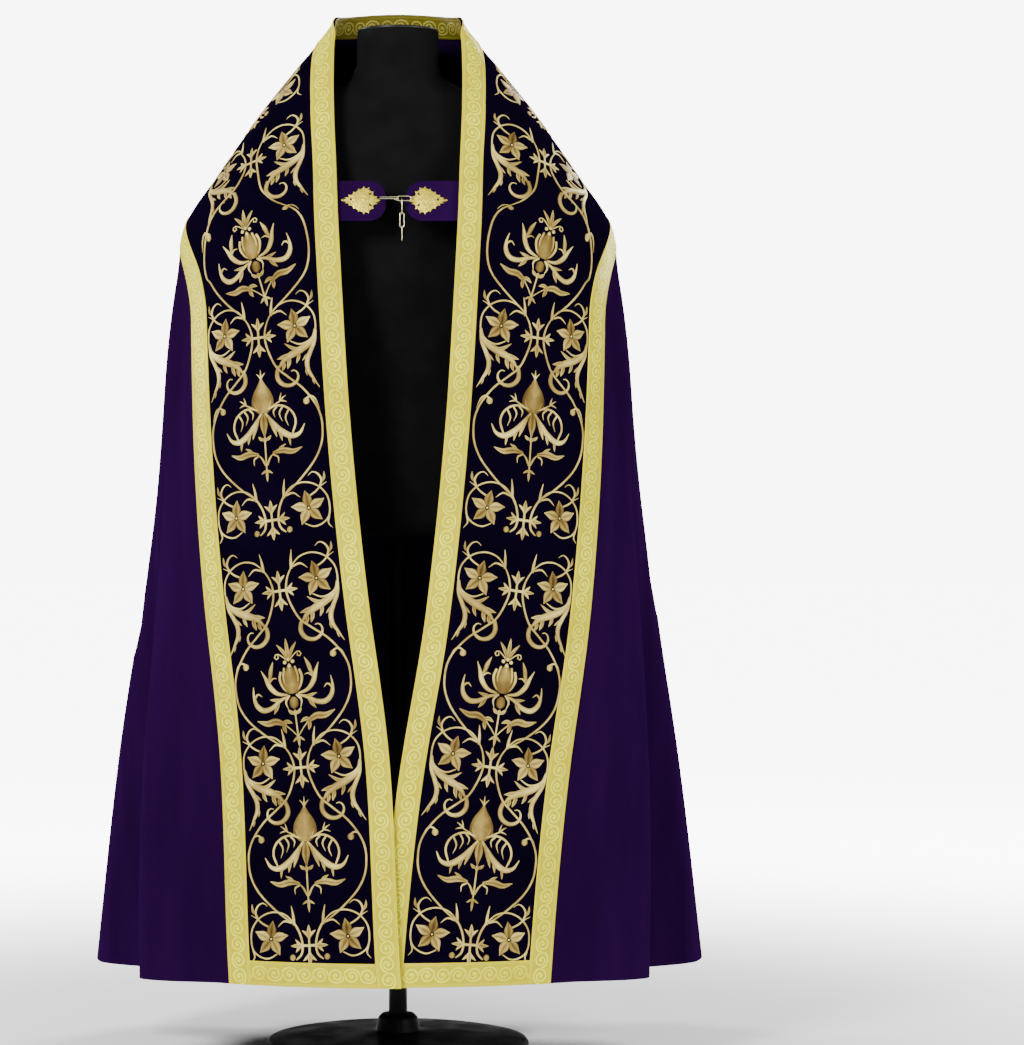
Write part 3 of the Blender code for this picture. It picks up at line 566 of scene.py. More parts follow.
def scroll(w, place):
    x, y = across_and_along(w, place)
    across = x - GALLOON_WIDTH / 2
    u = y % BAY_LENGTH - BAY_LENGTH / 2
    v = across * (y % (2 * BAY_LENGTH) - BAY_LENGTH).maths("SIGN")
    oval = ((u / (BAY_LENGTH / 2)).maths("POWER", 2.0) + (v / STEM_REACH).maths("POWER", 2.0)).maths("SQRT")
    stem = v.maths("GREATER_THAN", 0.0) * (abs(oval - 1.0) * STEM_REACH).below(STEM_HALF, EDGE_SOFT)
    radius = (u.maths("POWER", 2.0) + v.maths("POWER", 2.0)).maths("SQRT")
    angle = (v * -1.0).maths("ARCTAN2", u) % (2 * math.pi)
    turns = (CURL_START - radius) / CURL_PITCH - angle / (2 * math.pi)
    off_curl = abs(turns - turns.maths("ROUND")) * CURL_PITCH
    curl = turns.maths("GREATER_THAN", FIRST_TURN) * off_curl.below(CURL_HALF, EDGE_SOFT)
    pattern = stem.maths("MAXIMUM", curl).maths("MAXIMUM", radius.below(BUD_RADIUS, EDGE_SOFT))
    line = abs(abs(across) - LINE_AT).below(LINE_HALF, 0.0003)
    return pattern.maths("MAXIMUM", line * 0.6), 1.0 - abs(across).below(BORDER_AT, EDGE_SOFT)


SCROLL = new_effect("running_scroll", scroll, ("Place",), ("Pattern", "Border"))

# %% [markdown]
# The body is matt violet cloth. Long soft streaks of brighter violet are painted into its colour, a
# painted highlight, so some parts glow and others are nearly black. The lining is smoother. Velvet is nearly
# black seen straight on and glows where light grazes it: a dark base with a violet sheen. Bullion is gold
# cord.

# %% Cloth, lining, velvet and bullion
def finish(w, shader, base, rough, height, depth):
    """Colour, roughness, and a bump that stands depth metres high."""
    w.give(shader.inputs["Base Color"], base)
    w.give(shader.inputs["Roughness"], rough)
    bump = w.node("ShaderNodeBump")
    for socket, value in (("Strength", 1.0), ("Distance", depth), ("Height", height)):
        w.give(bump.inputs[socket], value)
    w.give(shader.inputs["Normal"], Value(w, bump.outputs[0]))


def make_cloth(name, threads, dark, light, rough, depth, streaks=None, **constants):
    """threads: an effect and its pitch; rough: by tint and at least; streaks: scale, share and colour."""
    made, w, shader = new_material(name, **constants)
    uv = w.uv()
    woven = w.effect(threads[0], uv, *threads[1:])
    base = w.mix(woven["Tint"], colour(*dark), colour(*light))
    if streaks:
        # Streaks or patches of another colour: a painted highlight on the body cloth, a random darker tone
        # on bullion.
        scale, share, streak_colour = streaks
        stretched = w.node("ShaderNodeMapping")
        w.give(stretched.inputs["Vector"], uv)
        stretched.inputs["Scale"].default_value = scale
        patch_share = w.effect(SLOW_CHANGE, Value(w, stretched.outputs[0]), 1.0)
        base = w.mix(patch_share["Share"] * share, base, colour(*streak_colour))
    finish(w, shader, base, woven["Tint"] * rough[0] + rough[1], woven["Height"], depth)
    return made


# The body cloth's brighter violet streaks are painted highlight: they make parts of the cloth glow as light
# would.
VIOLET_CLOTH = make_cloth(
    "violet_cloth", (WEAVE, 0.0011), (0.0054, 0.0006, 0.0130), (0.0110, 0.0010, 0.0235), (0.12, 0.70),
    0.00018, streaks=((9.0, 1.3, 1.0), 0.52, (0.0185, 0.0016, 0.0430)), roughness=0.78,
    specular_ior_level=0.0, sheen_weight=0.03, sheen_roughness=0.35, sheen_tint=colour(0.34, 0.03, 0.66))
LINING = make_cloth(
    "violet_lining", (WEAVE, 0.0007), (0.0050, 0.0009, 0.0120), (0.0100, 0.0020, 0.0230), (0.15, 0.36),
    0.00008, roughness=0.42, specular_ior_level=0.05)
VELVET = make_cloth(
    "velvet", (PILE,), (0.0010, 0.0004, 0.0030), (0.0026, 0.0008, 0.0075), (-0.08, 0.95), 0.00035,
    roughness=0.92, specular_ior_level=0.0, sheen_weight=0.05, sheen_roughness=0.28,
    sheen_tint=colour(0.20, 0.05, 0.45))
BULLION = make_cloth(
    "bullion", (SATIN_STITCH, 0.0016), (0.190, 0.118, 0.022), (0.880, 0.700, 0.240), (0.2, 0.36), 0.00040,
    streaks=((160.0, 160.0, 160.0), 0.5, (0.430, 0.295, 0.075)), metallic=0.35, roughness=0.46,
    specular_ior_level=0.15)
print([material.name for material in (VIOLET_CLOTH, LINING, VELVET, BULLION)])

# %% Galloon and the hood's cream braid: dark and light ground, pattern and border, metal and roughness
def make_braid(name, dark, light, pattern, border, metal, rough):
    made, w, shader = new_material(name, metallic=metal, roughness=rough, specular_ior_level=0.12)
    uv = w.uv()
    woven, threads = w.effect(SCROLL, uv), w.effect(WEAVE, uv, 0.0009)
    grain = w.noise(uv, 620.0, 1.0).below(0.47, 0.07)
    base = w.mix(threads["Tint"], colour(*dark), colour(*light))
    base = w.mix(grain * 0.55, base, colour(*dark))
    base = w.mix(woven["Pattern"], base, colour(*pattern))
    base = w.mix(woven["Border"] * 0.7, base, colour(*border))
    base = w.mix(w.effect(SLOW_CHANGE, uv, 9.0)["Share"] * 0.42, base, colour(*dark))
    height = woven["Pattern"] * 1.4 + threads["Height"]
    finish(w, shader, base, woven["Pattern"] * -0.10 + rough, height, 0.00030)
    return made


GALLOON = make_braid("galloon", (0.46, 0.38, 0.002), (0.88, 0.80, 0.010), (1.00, 0.99, 0.045),
                     (0.94, 0.78, 0.03), 0.15, 0.44)
# A darker copy of the galloon for the inside of the collar: painted shade, as that side lies in shadow.
SHADED_GALLOON = make_braid("galloon_inside_painted_shade", (0.085, 0.065, 0.003), (0.230, 0.195, 0.010),
                            (0.420, 0.390, 0.080), (0.180, 0.150, 0.015), 0.15, 0.50)
CREAM_BRAID = make_braid("cream_braid", (0.86, 0.77, 0.045), (0.98, 0.93, 0.12), (1.00, 0.98, 0.24),
                         (0.90, 0.82, 0.08), 0.10, 0.50)
print([material.name for material in (GALLOON, SHADED_GALLOON, CREAM_BRAID)])

# %% [markdown]
# The embroidery is gold thread. Each stitched shape carries a shade at every point: 0 is brown, 1 is the
# palest gold. Besides the thread's own tone this holds painted light: each shape is paler along its crest
# and darker at its edges and in its vein. The material mixes its colours by it, and satin stitches run
# across each shape.

# %% Gold thread
SHADE = "thread_tone_and_painted_light"
THREAD_COLOURS = ((0.0, (0.050, 0.028, 0.005)), (0.35, (0.185, 0.118, 0.026)),
                  (0.7, (0.470, 0.350, 0.090)), (1.0, (0.860, 0.745, 0.235)))


def make_gold_thread():
    made, w, shader = new_material("gold_thread", metallic=0.22, roughness=0.50, specular_ior_level=0.12)
    stitch = w.effect(SATIN_STITCH, w.uv(), 0.0010)
    # Broad patches where the thread is browner, laid at random.
    brown_patches = w.effect(SLOW_CHANGE, w.object_place(), 34.0)
    shade = w.value("ShaderNodeAttribute", output="Fac", attribute_name=SHADE)
    ramp = w.node("ShaderNodeValToRGB", shade + (stitch["Tint"] * 0.40 - 0.14) - brown_patches["Share"] * 0.26)
    stops = ramp.color_ramp.elements
    for k, (place, shade_colour) in enumerate(THREAD_COLOURS):
        stop = stops[k] if k < 2 else stops.new(place)
        stop.position, stop.color = place, colour(*shade_colour)
    finish(w, shader, Value(w, ramp.outputs[0]), stitch["Tint"] * 0.16 + 0.44, stitch["Height"], 0.00025)
    return made


GOLD_THREAD = make_gold_thread()
print(GOLD_THREAD.name)

# %% [markdown]
# Metal and the dress form read object coordinates, because they have no cloth map. The gilt is duller in
# patches, the form is black jersey, and the stand's satin black paint has a little dust on it.

# %% Metals, jersey and paint
def make_hard(name, change, first, second, rough, grain, depth, **constants):
    """change: scale and share of a slow change; rough: by that change and at least; grain: scale or knit."""
    made, w, shader = new_material(name, **constants)
    place = w.object_place()
    changed = w.effect(SLOW_CHANGE, place, change[0])["Share"]
    if grain == "knit":
        wales = w.node("ShaderNodeTexWave", place, wave_type="BANDS", bands_direction="X")
        wales.inputs["Scale"].default_value, wales.inputs["Distortion"].default_value = 420.0, 1.5
        height = Value(w, wales.outputs["Fac"])
    else:
        height = w.noise(place, grain)
    base = w.mix(changed * change[1], colour(*first), colour(*second))
    finish(w, shader, base, changed * rough[0] + rough[1], height, depth)
    return made


GILT = make_hard("gilt_metal", (260.0, 1.0), (0.78, 0.66, 0.07), (0.50, 0.39, 0.03), (0.14, 0.44), 1100.0,
                 0.00030, metallic=0.70, roughness=0.50)
PALE_METAL = make_hard("pale_metal", (400.0, 1.0), (0.80, 0.74, 0.48), (0.60, 0.53, 0.28), (0.22, 0.18),
                       1500.0, 0.00005, metallic=1.0, roughness=0.25)
JERSEY = make_hard("black_jersey", (24.0, 0.6), (0.0030, 0.0030, 0.0033), (0.006, 0.006, 0.0066),
                   (0.08, 0.84), "knit", 0.00025, roughness=0.88, specular_ior_level=0.05, sheen_weight=0.02,
                   sheen_roughness=0.4, sheen_tint=colour(0.5, 0.5, 0.55))
BLACK_PAINT = make_hard("satin_black_paint", (18.0, 0.5), (0.006, 0.006, 0.0065), (0.016, 0.0155, 0.015),
                        (0.22, 0.32), 700.0, 0.00006, metallic=0.0, roughness=0.46, specular_ior_level=0.22)
print([material.name for material in (GILT, PALE_METAL, JERSEY, BLACK_PAINT)])

# %% [markdown]
# ## Cloth shells
#
# A piece of cloth could be a plane with a Solidify modifier. Here both faces are already known, so the
# shell is closed directly: an outer grid, an inner grid and a rim. Its inner face may be of another stuff.

# %% A closed shell from two grids
def dress(piece, slot, *nodes):
    """Makes a finished piece move with the part and hides the solids it stands for. Its slot is not used."""
    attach(piece, "root")
    if nodes:
        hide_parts(*nodes)
    return piece


def mesh_from_arrays(name, points, quads, uv, materials, material_index=None, shade=None):
    mesh = bpy.data.meshes.new(name)
    mesh.vertices.add(len(points))
    mesh.vertices.foreach_set("co", np.asarray(points, np.float32).ravel())
    quads = np.asarray(quads, np.int32)
    mesh.loops.add(quads.size)
    mesh.loops.foreach_set("vertex_index", quads.ravel())
    mesh.polygons.add(len(quads))
    mesh.polygons.foreach_set("loop_start", np.arange(len(quads), dtype=np.int32) * 4)
    layer = mesh.uv_layers.new(name=UV_MAP)
    layer.data.foreach_set("uv", np.asarray(uv, np.float32)[quads.ravel()].ravel())
    if material_index is not None:
        mesh.polygons.foreach_set("material_index", np.asarray(material_index, np.int32))
    if shade is not None:
        mesh.attributes.new(SHADE, "FLOAT", "POINT").data.foreach_set("value", np.asarray(shade, np.float32))
    mesh.polygons.foreach_set("use_smooth", np.ones(len(quads), bool))
    for each in materials:
        mesh.materials.append(each)
    mesh.update(calc_edges=True)
    mesh.validate()
    return place_in_scene(name, mesh)


def shell_quads(rows, columns, first=0):
    """The faces of a closed shell whose outer grid comes before its inner grid."""
    index = first + np.arange(rows * columns).reshape(rows, columns)
    cells = np.stack([index[:-1, :-1], index[:-1, 1:], index[1:, 1:], index[1:, :-1]], axis=2).reshape(-1, 4)
    under = cells[:, ::-1] + rows * columns
    ring = np.concatenate([index[0], index[1:, -1], index[-1, -2::-1], index[-2:0:-1, 0]])
    following = np.roll(ring, -1)
    rim = np.stack([ring, ring + rows * columns, following + rows * columns, following], axis=1)
    return cells, under, rim


def cloth_shell(name, outer, inner, uv, materials):
    """outer and inner are (rows, columns, 3) grids of points, uv is (rows, columns, 2) in metres."""
    rows, columns = outer.shape[:2]
    cells, under, rim = shell_quads(rows, columns)
    quads = np.concatenate([cells, under, rim])
    corner = outer[0, 0]
    turned_in = np.dot(np.cross(outer[0, 1] - corner, outer[1, 1] - corner), corner - inner[0, 0]) < 0
    if turned_in:
        quads = quads[:, ::-1]
    index = np.zeros(len(quads), int)
    index[len(cells):len(cells) + len(under)] = len(materials) - 1
    points = np.concatenate([outer.reshape(-1, 3), inner.reshape(-1, 3)])
    flat = np.concatenate([uv.reshape(-1, 2)] * 2)
    piece = mesh_from_arrays(name, points, quads, flat, materials, index)
    piece.data.set_sharp_from_angle(angle=math.radians(50))
    return piece


def cloth_piece(name, faces, uv, materials, slot, node):
    """A closed shell that is a finished piece."""
    return dress(cloth_shell(name, *faces, uv, materials), slot, node)


print("a shell of 2 by 2 cells has", sum(len(part) for part in shell_quads(3, 3)), "faces")

# %% [markdown]
# ## The edges of the orphrey
#
# The orphrey is a band between two lines. The inner line runs up the front edge and round the neck. The
# outer line runs up the front, turns at the shoulder and follows the yoke. Rungs join the two, and each
# rung crosses the inner galloon, the velvet and the outer galloon.

# %% Outer and inner line, as arrays of (z, g)
INNER_CORNER_Z, INNER_CORNER_RUN = 1.535, 0.030
OUTER_CORNER_Z, OUTER_CORNER_RUN = 1.100, 0.190
FRONT_RUNGS, CORNER_RUNGS, YOKE_RUNGS, LAST_RUNGS = 190, 30, 64, 4
SEARCH_POINTS = 61                # points along a rung when the galloons' edges are looked for


def front_line(side, inset, start, end, count):
    z = np.linspace(start, end, count)
    return np.stack([z, half_length(side, z) - inset], axis=1)


def corner_line(side, inset, run, low, high, count):
    """A rounded corner: up from the front and over towards the back."""
    angle = np.linspace(0, math.pi / 2, count)
    z = low + (high - low) * np.sin(angle)
    return np.stack([z, half_length(side, z) - inset - run * (1 - np.cos(angle))], axis=1)


def outer_line(side):
    corner = corner_line(side, ORPHREY_WIDTH, OUTER_CORNER_RUN, OUTER_CORNER_Z, YOKE_Z, CORNER_RUNGS + 1)
    g = corner[-1, 1]
    last = GALLOON_WIDTH / 2 / g
    share = np.concatenate([np.linspace(0, 1 - last, YOKE_RUNGS + 1)[1:],
                            np.linspace(1 - last, 1, LAST_RUNGS + 1)[1:]])
    yoke = np.stack([np.full(len(share), YOKE_Z), g * (1 - share)], axis=1)
    return np.concatenate([corner, yoke])


def neck_line(side):
    front = front_line(side, 0, OUTER_CORNER_Z, INNER_CORNER_Z, 60)
    corner = corner_line(side, 0, INNER_CORNER_RUN, INNER_CORNER_Z, COLLAR_Z, 20)[1:]
    g = corner[-1, 1] * (1 - np.linspace(0, 1, 50)[1:])
    neck = np.stack([np.full(len(g), COLLAR_Z), g], axis=1)
    return np.concatenate([front, corner, neck])


def rung_ends(side):
    """Both ends of every rung, from the hem to the centre back."""
    outer = outer_line(side)
    inner = neck_line(side)
    outer_run = travelled(lay(side, *outer.T))
    inner_run = travelled(lay(side, *inner.T))
    until_last = len(outer) - 1 - LAST_RUNGS
    neck_run = inner_run[-1] - GALLOON_WIDTH / 2
    at = np.concatenate([outer_run[: until_last + 1] / outer_run[until_last] * neck_run,
                         np.linspace(neck_run, inner_run[-1], LAST_RUNGS + 1)[1:]])
    matched = np.stack([np.interp(at, inner_run, inner[:, k]) for k in (0, 1)], axis=1)
    low = front_line(side, 0, HEM_Z, OUTER_CORNER_Z, FRONT_RUNGS + 1)[:-1]
    low_outer = front_line(side, ORPHREY_WIDTH, HEM_Z, OUTER_CORNER_Z, FRONT_RUNGS + 1)[:-1]
    return np.concatenate([low, matched]), np.concatenate([low_outer, outer])


def shares_at(side, inner, outer, distances, count):
    """How far along each rung the cloth is this distance from the inner line."""
    shares = np.linspace(0, 1, count)
    path = inner[:, None] + (outer - inner)[:, None] * shares[None, :, None]
    edge = lay(side, *inner.T)
    found = []
    for row, distance in zip(lay(side, path[..., 0], path[..., 1]), distances):
        reach = np.min(np.linalg.norm(row[:, None] - edge[None], axis=2), axis=1)
        found.append(np.interp(distance, np.maximum.accumulate(reach), shares))
    return np.array(found)


RUNGS = {}
for side in (-1, 1):
    inner, outer = rung_ends(side)
    widths = np.full(len(inner), GALLOON_WIDTH)
    RUNGS[side] = {"inner": inner, "outer": outer, "zero": np.zeros(len(inner)), "one": np.ones(len(inner)),
                   "first": shares_at(side, inner, outer, widths, SEARCH_POINTS),
                   "last": 1 - shares_at(side, outer, inner, widths, SEARCH_POINTS)}
print("rungs in half the orphrey:", len(RUNGS[1]["inner"]))

# %% Grids across the band
FIRST_YOKE_RUNG = FRONT_RUNGS + CORNER_RUNGS
NECK_RUNG = int(np.argmax(RUNGS[1]["inner"][:, 0] > INNER_CORNER_Z))


def band_grid(side, rungs, shares, lift):
    """Points of the band: rungs is a slice of them, shares is an array (rungs, columns) across them."""
    ends = RUNGS[side]["inner"][rungs], RUNGS[side]["outer"][rungs]
    path = ends[0][:, None] + (ends[1] - ends[0])[:, None] * shares[..., None]
    return lay(side, path[..., 0], path[..., 1], lift)


def metres_uv(points):
    """A UV map in metres for a grid: across each row, and along the middle column."""
    along = travelled(points[:, points.shape[1] // 2])
    return np.stack([travelled(points), np.repeat(along[:, None], points.shape[1], axis=1)], axis=2)


print("rungs before the yoke:", FIRST_YOKE_RUNG, "and before the neck:", NECK_RUNG)

# %% [markdown]
# ## The velvet orphreys
#
# Each orphrey is one shell from the hem to the centre back, with the lining on its inner face.

# %% Orphreys
VELVET_COLUMNS = 30
MARGIN_COLUMNS = 4
ALL_RUNGS = slice(0, len(RUNGS[1]["inner"]))


def orphrey_shares(side):
    first, last = RUNGS[side]["first"][:, None], RUNGS[side]["last"][:, None]
    edge = np.linspace(0, 1, MARGIN_COLUMNS + 1)[None]
    middle = np.linspace(0, 1, VELVET_COLUMNS + 1)[None]
    return np.hstack([first * edge, (first + (last - first) * middle)[:, 1:],
                      (last + (1 - last) * edge)[:, 1:]])


def surface_area(points):
    """The area of a grid of points."""
    a, b, c, d = points[:-1, :-1], points[:-1, 1:], points[1:, 1:], points[1:, :-1]
    return float(0.5 * np.linalg.norm(np.cross(c - a, d - b), axis=2).sum())


ORPHREYS = {}
for side, word in SIDES:
    shares = orphrey_shares(side)
    faces = [band_grid(side, ALL_RUNGS, shares, lift) for lift in (ORPHREY_THICK / 2, -ORPHREY_THICK / 2)]
    for face in faces:
        face[-1, :, 0] = side * SEAM_GAP / 2
    band = cloth_piece(f"velvet_orphrey_{word}", faces, metres_uv(faces[0]), [VELVET, LINING], "velvet",
                       f"orphrey_{word}")
    ORPHREYS[word] = {"piece": band, "grid": faces[0]}
    print(band.name, "area", round(surface_area(faces[0]), 3))

# %% [markdown]
# ## Galloon
#
# Each strip of braid reads the same surface a little further out. A braid is not flat: its selvedges are
# thick cords and its middle is slightly full. A profile of shares and heights gives it that section.

# %% The braid's section and a strip of it
BRAID_SHARES = np.array([0.0, 0.02, 0.05, 0.08, 0.13, 0.30, 0.50, 0.70, 0.87, 0.92, 0.95, 0.98, 1.0])
BRAID_HEIGHTS = np.array([0.45, 0.95, 1.0, 0.75, 0.72, 0.86, 0.90, 0.86, 0.72, 0.75, 1.0, 0.95, 0.45])


def strip_points(side, rungs, low, high, base, way=1.0):
    """The outer and inner grid of a strip from one line across the rungs to another."""
    low_share, high_share = RUNGS[side][low], RUNGS[side][high]
    shares = low_share[rungs, None] + (high_share - low_share)[rungs, None] * BRAID_SHARES[None]
    top = np.broadcast_to(base + way * GALLOON_THICK * BRAID_HEIGHTS, shares.shape)
    return band_grid(side, rungs, shares, top), band_grid(side, rungs, shares, np.full(shares.shape, base))


def join_halves(left, right):
    """One grid over both halves: the left rungs up to the centre back, then the right ones back."""
    return [np.concatenate([a[:-1], (a[-1:] + b[-1:]) / 2, b[-2::-1]]) for a, b in zip(left, right)]


def braid_uv(points):
    uv = metres_uv(points)
    uv[..., 0] = BRAID_SHARES * GALLOON_WIDTH
    return uv


def sew_on(name, grids, node):
    return cloth_piece(name, grids, braid_uv(grids[0]), [GALLOON], "galloon", node)


ON_VELVET = ORPHREY_THICK / 2 + SEAM_GAP
print("braid section:", len(BRAID_SHARES), "points")

# %% Strips on the front edges and the outer edges
BRAIDS = {"left": [], "right": []}
for side, word in SIDES:
    up_front = strip_points(side, slice(0, NECK_RUNG + 1), "zero", "first", ON_VELVET)
    up_side = strip_points(side, slice(0, FIRST_YOKE_RUNG + 1), "last", "one", ON_VELVET)
    BRAIDS[word] += [
        sew_on(f"braid_front_{word}", up_front, f"galloon_front_{word}"),
        sew_on(f"braid_side_{word}", up_side, f"galloon_side_{word}"),
    ]
    print([braid.name for braid in BRAIDS[word]])

# %% Strips across the foot of each orphrey
HEM_COLUMNS = 40

for side, word in SIDES:
    first, last = RUNGS[side]["first"][0], RUNGS[side]["last"][0]
    z = HEM_Z + GALLOON_WIDTH * BRAID_SHARES
    start, end = half_length(side, z) - first * ORPHREY_WIDTH, half_length(side, z) - last * ORPHREY_WIDTH
    run = np.linspace(SEAM_GAP / ORPHREY_WIDTH, 1 - SEAM_GAP / ORPHREY_WIDTH, HEM_COLUMNS)[:, None]
    g = start[None] + (end - start)[None] * run
    top = lay(side, z[None], g, ON_VELVET + GALLOON_THICK * BRAID_HEIGHTS[None] * np.ones_like(g))
    under = lay(side, z[None], g, np.full_like(g, ON_VELVET))
    BRAIDS[word].append(sew_on(f"braid_hem_{word}", (top, under), f"galloon_hem_{word}"))
    print(BRAIDS[word][-1].name, "length", round(float(travelled(top[:, 6])[-1]), 3))

# %% Strips over both halves: collar, facing, yoke and centre back
def both(*strip):
    return join_halves(*(strip_points(side, *strip) for side in (-1, 1)))


AROUND_NECK, AROUND_YOKE = slice(NECK_RUNG, None), slice(FIRST_YOKE_RUNG, None)
collar = sew_on("braid_collar", both(AROUND_NECK, "zero", "first", ON_VELVET), "galloon_collar")
FACING_LIFT = 0.0004              # the inside of the collar's corner is too tight to lie any closer
facing = sew_on("braid_collar_facing", both(AROUND_NECK, "zero", "first", -ON_VELVET - FACING_LIFT, -1.0),
                "collar_facing")
yoke = sew_on("braid_yoke", both(AROUND_YOKE, "last", "one", ON_VELVET), "galloon_yoke")
# The facing takes the galloon's darker copy: painted shade.
facing.data.materials[0] = SHADED_GALLOON
print([braid.name for braid in (collar, facing, yoke)])

# %% The strip down the centre back
CENTRE_ROWS = 46


def centre_back_grids():
    """Rows run down the centre back and columns across it, through both halves."""
    down = 0.003 + 0.994 * np.linspace(0, 1, CENTRE_ROWS)     # clear of the galloons above and below
    across = (BRAID_SHARES - 0.5) * GALLOON_WIDTH
    grids = []
    for height in (GALLOON_THICK * BRAID_HEIGHTS, np.zeros(len(BRAID_SHARES))):
        columns = []
        for x, tall in zip(across, height):
            side = 1 if x > 0 else -1
            first, last, inner, outer = (RUNGS[side][key][-1] for key in ("first", "last", "inner", "outer"))
            share = (first + (last - first) * down)[:, None]
            path = inner[None] + (outer - inner)[None] * share
            columns.append(lay(side, path[:, 0], np.full(CENTRE_ROWS, abs(x)), ON_VELVET + tall))
        grids.append(np.stack(columns, axis=1))
    return grids


centre_back = sew_on("braid_centre_back", centre_back_grids(), "galloon_centre_back")
print(centre_back.name, "length", round(float(travelled(centre_back_grids()[0][:, 6])[-1]), 3))

# %% [markdown]
# ## The body
#
# The body is cut in three widths, joined along the deep folds of the back. Its columns follow the long
# folds from the hem and then spread to meet the orphrey. The cloth dips a little along each join, and the
# hem is turned up inside.

# %% Columns that follow the folds
FOLD_LINES_TO_Z = 0.650
CORNER_COLUMNS = 5
YOKE_COLUMNS = 22
SIDE_COLUMNS = 15                 # the side width ends here, at the fourth fold
FINE = 5                          # fine columns in each column of the solids
BODY_ROWS = 150
TURN_UP = 0.028
SEAM_DIP = 0.0009
SEWN_GAP = 0.00005                # a sewn join lets no light through


def fold_line_shares(side, z):
    """Where the columns run at one level: shares of the way from the orphrey to the centre back."""
    grid = SURFACE[side]
    row = min(int(round((z - HEM_Z) / (COLLAR_Z - HEM_Z) * (ROWS - 1))), ROWS - 1)
    points = grid["points"][row]
    distance = np.linspace(0, grid["lengths"][row], COLUMNS)
    angles = np.degrees(np.arctan2(side * points[:, 0], -points[:, 1]))
    rising = np.maximum.accumulate(angles[::-1])
    width = distance[-1] - ORPHREY_WIDTH
    lines, counts = [width], []
    for fold in FOLDS:
        lines.append(float(np.interp(fold_angle(fold, z), rising, distance[::-1])))
        counts.append(int(fold["columns"]))
    lines.append(0.0)
    counts.append(CORNER_COLUMNS + YOKE_COLUMNS - sum(counts))
    runs = [np.linspace(a, b, n, endpoint=False) for a, b, n in zip(lines, lines[1:], counts)]
    return 1 - np.append(np.concatenate(runs), 0.0) / width


def column_tops(side):
    """Where each column ends, on the orphrey's outer edge."""
    edge = RUNGS[side]["outer"][FRONT_RUNGS:]
    corner = edge[np.linspace(0, CORNER_RUNGS, CORNER_COLUMNS + 1).round().astype(int)]
    z, g = edge[CORNER_RUNGS]
    last = GALLOON_WIDTH / 2 / g
    steps = np.append(np.linspace(0, 1 - last, YOKE_COLUMNS // 2), 1.0)
    halved = np.interp(np.arange(1, YOKE_COLUMNS + 1) / 2, np.arange(len(steps)), steps)
    yoke = np.stack([np.full(YOKE_COLUMNS, z), g * (1 - halved)], axis=1)
    return np.concatenate([corner, yoke])


def body_paths(side):
    """(rows, fine columns, 2) of z and g for half the body."""
    tops = column_tops(side)
    top_shares = 1 - tops[:, 1] / (half_length(side, tops[:, 0]) - ORPHREY_WIDTH)
    columns = np.arange(len(tops))
    fine = np.linspace(0, columns[-1], columns[-1] * FINE + 1)
    rows = []
    for up in np.linspace(0, 1, BODY_ROWS):
        level = HEM_Z + (OUTER_CORNER_Z - HEM_Z) * up
        blend = ease((level - FOLD_LINES_TO_Z) / (OUTER_CORNER_Z - FOLD_LINES_TO_Z))
        z = HEM_Z + (tops[:, 0] - HEM_Z) * up
        z -= SEAM_GAP if up == 1 else 0
        followed = np.array([fold_line_shares(side, height)[k] for k, height in enumerate(z)])
        share = followed * (1 - blend) + top_shares * blend
        g = (half_length(side, z) - ORPHREY_WIDTH - SEWN_GAP) * (1 - share)
        rows.append(np.stack([np.interp(fine, columns, z), np.interp(fine, columns, g)], axis=1))
    return np.array(rows)


BODY_PATHS = {side: body_paths(side) for side in (-1, 1)}
print("half the body:", BODY_PATHS[1].shape[:2], "points")

# %% The three widths of cloth
def body_faces(side):
    """The outer and inner grid of half the body, with its seam dip and its turned-up hem."""
    paths = BODY_PATHS[side]
    z, g = paths[..., 0], paths[..., 1]
    seam = g[:, SIDE_COLUMNS * FINE][:, None]
    dip = -SEAM_DIP * np.exp(-(((g - seam) / 0.004) ** 2))
    stitched = -0.0004 * np.exp(-(((z - HEM_Z - TURN_UP) / 0.0025) ** 2))
    turned_up = BODY_THICK * 0.8 * (1 - ease((z - HEM_Z - TURN_UP + 0.004) / 0.006))
    return (lay(side, z, g, BODY_THICK / 2 + dip + stitched),
            lay(side, z, g, -BODY_THICK / 2 + dip - turned_up))


SEAM = SIDE_COLUMNS * FINE
JOIN_SHARE = 0.012                # the back width starts this share of a column inside the seam
faces = {side: body_faces(side) for side in (-1, 1)}
for side, word in SIDES:
    width = [face[:, : SEAM + 1] for face in faces[side]]
    cloth_piece(f"cloth_width_{word}", width, metres_uv(width[0]), [VIOLET_CLOTH, LINING],
                             "violet_cloth", f"cope_{word}")
back_faces = []
for k in range(2):
    left, right = faces[-1][k][:, SEAM:], faces[1][k][:, SEAM:]
    middle = (left[:, -1:] + right[:, -1:]) / 2
    back = np.concatenate([left[:, :-1], middle, right[:, -2::-1]], axis=1)
    back[:, 0] += (back[:, 1] - back[:, 0]) * JOIN_SHARE
    back[:, -1] += (back[:, -2] - back[:, -1]) * JOIN_SHARE
    back_faces.append(back)
cloth_piece("cloth_width_back", back_faces, metres_uv(back_faces[0]), [VIOLET_CLOTH, LINING],
                           "violet_cloth", "cope_back")

# %% [markdown]
# ## The hood
#
# The hood is a flat shield of velvet that hangs from the yoke. It is drawn in its own plane, across from
# the centre line and down from the yoke, and every point is carried onto the back, a few millimetres off
# it. The same outline, moved inwards, gives the edge of the velvet and the braid.

# %% The hood's plane and outline
HOOD_HALF_WIDTH, HOOD_DEPTH, HOOD_CORNER = 0.265, 0.490, 0.145
HOOD_THICK, BAND_THICK, BAND_WIDTH = 0.0025, 0.0032, 0.013
HOOD_LIFT_TOP, HOOD_LIFT_FOOT = 0.0030, 0.0085
HOOD_SIDE_POINTS, HOOD_CORNER_POINTS = 44, 26


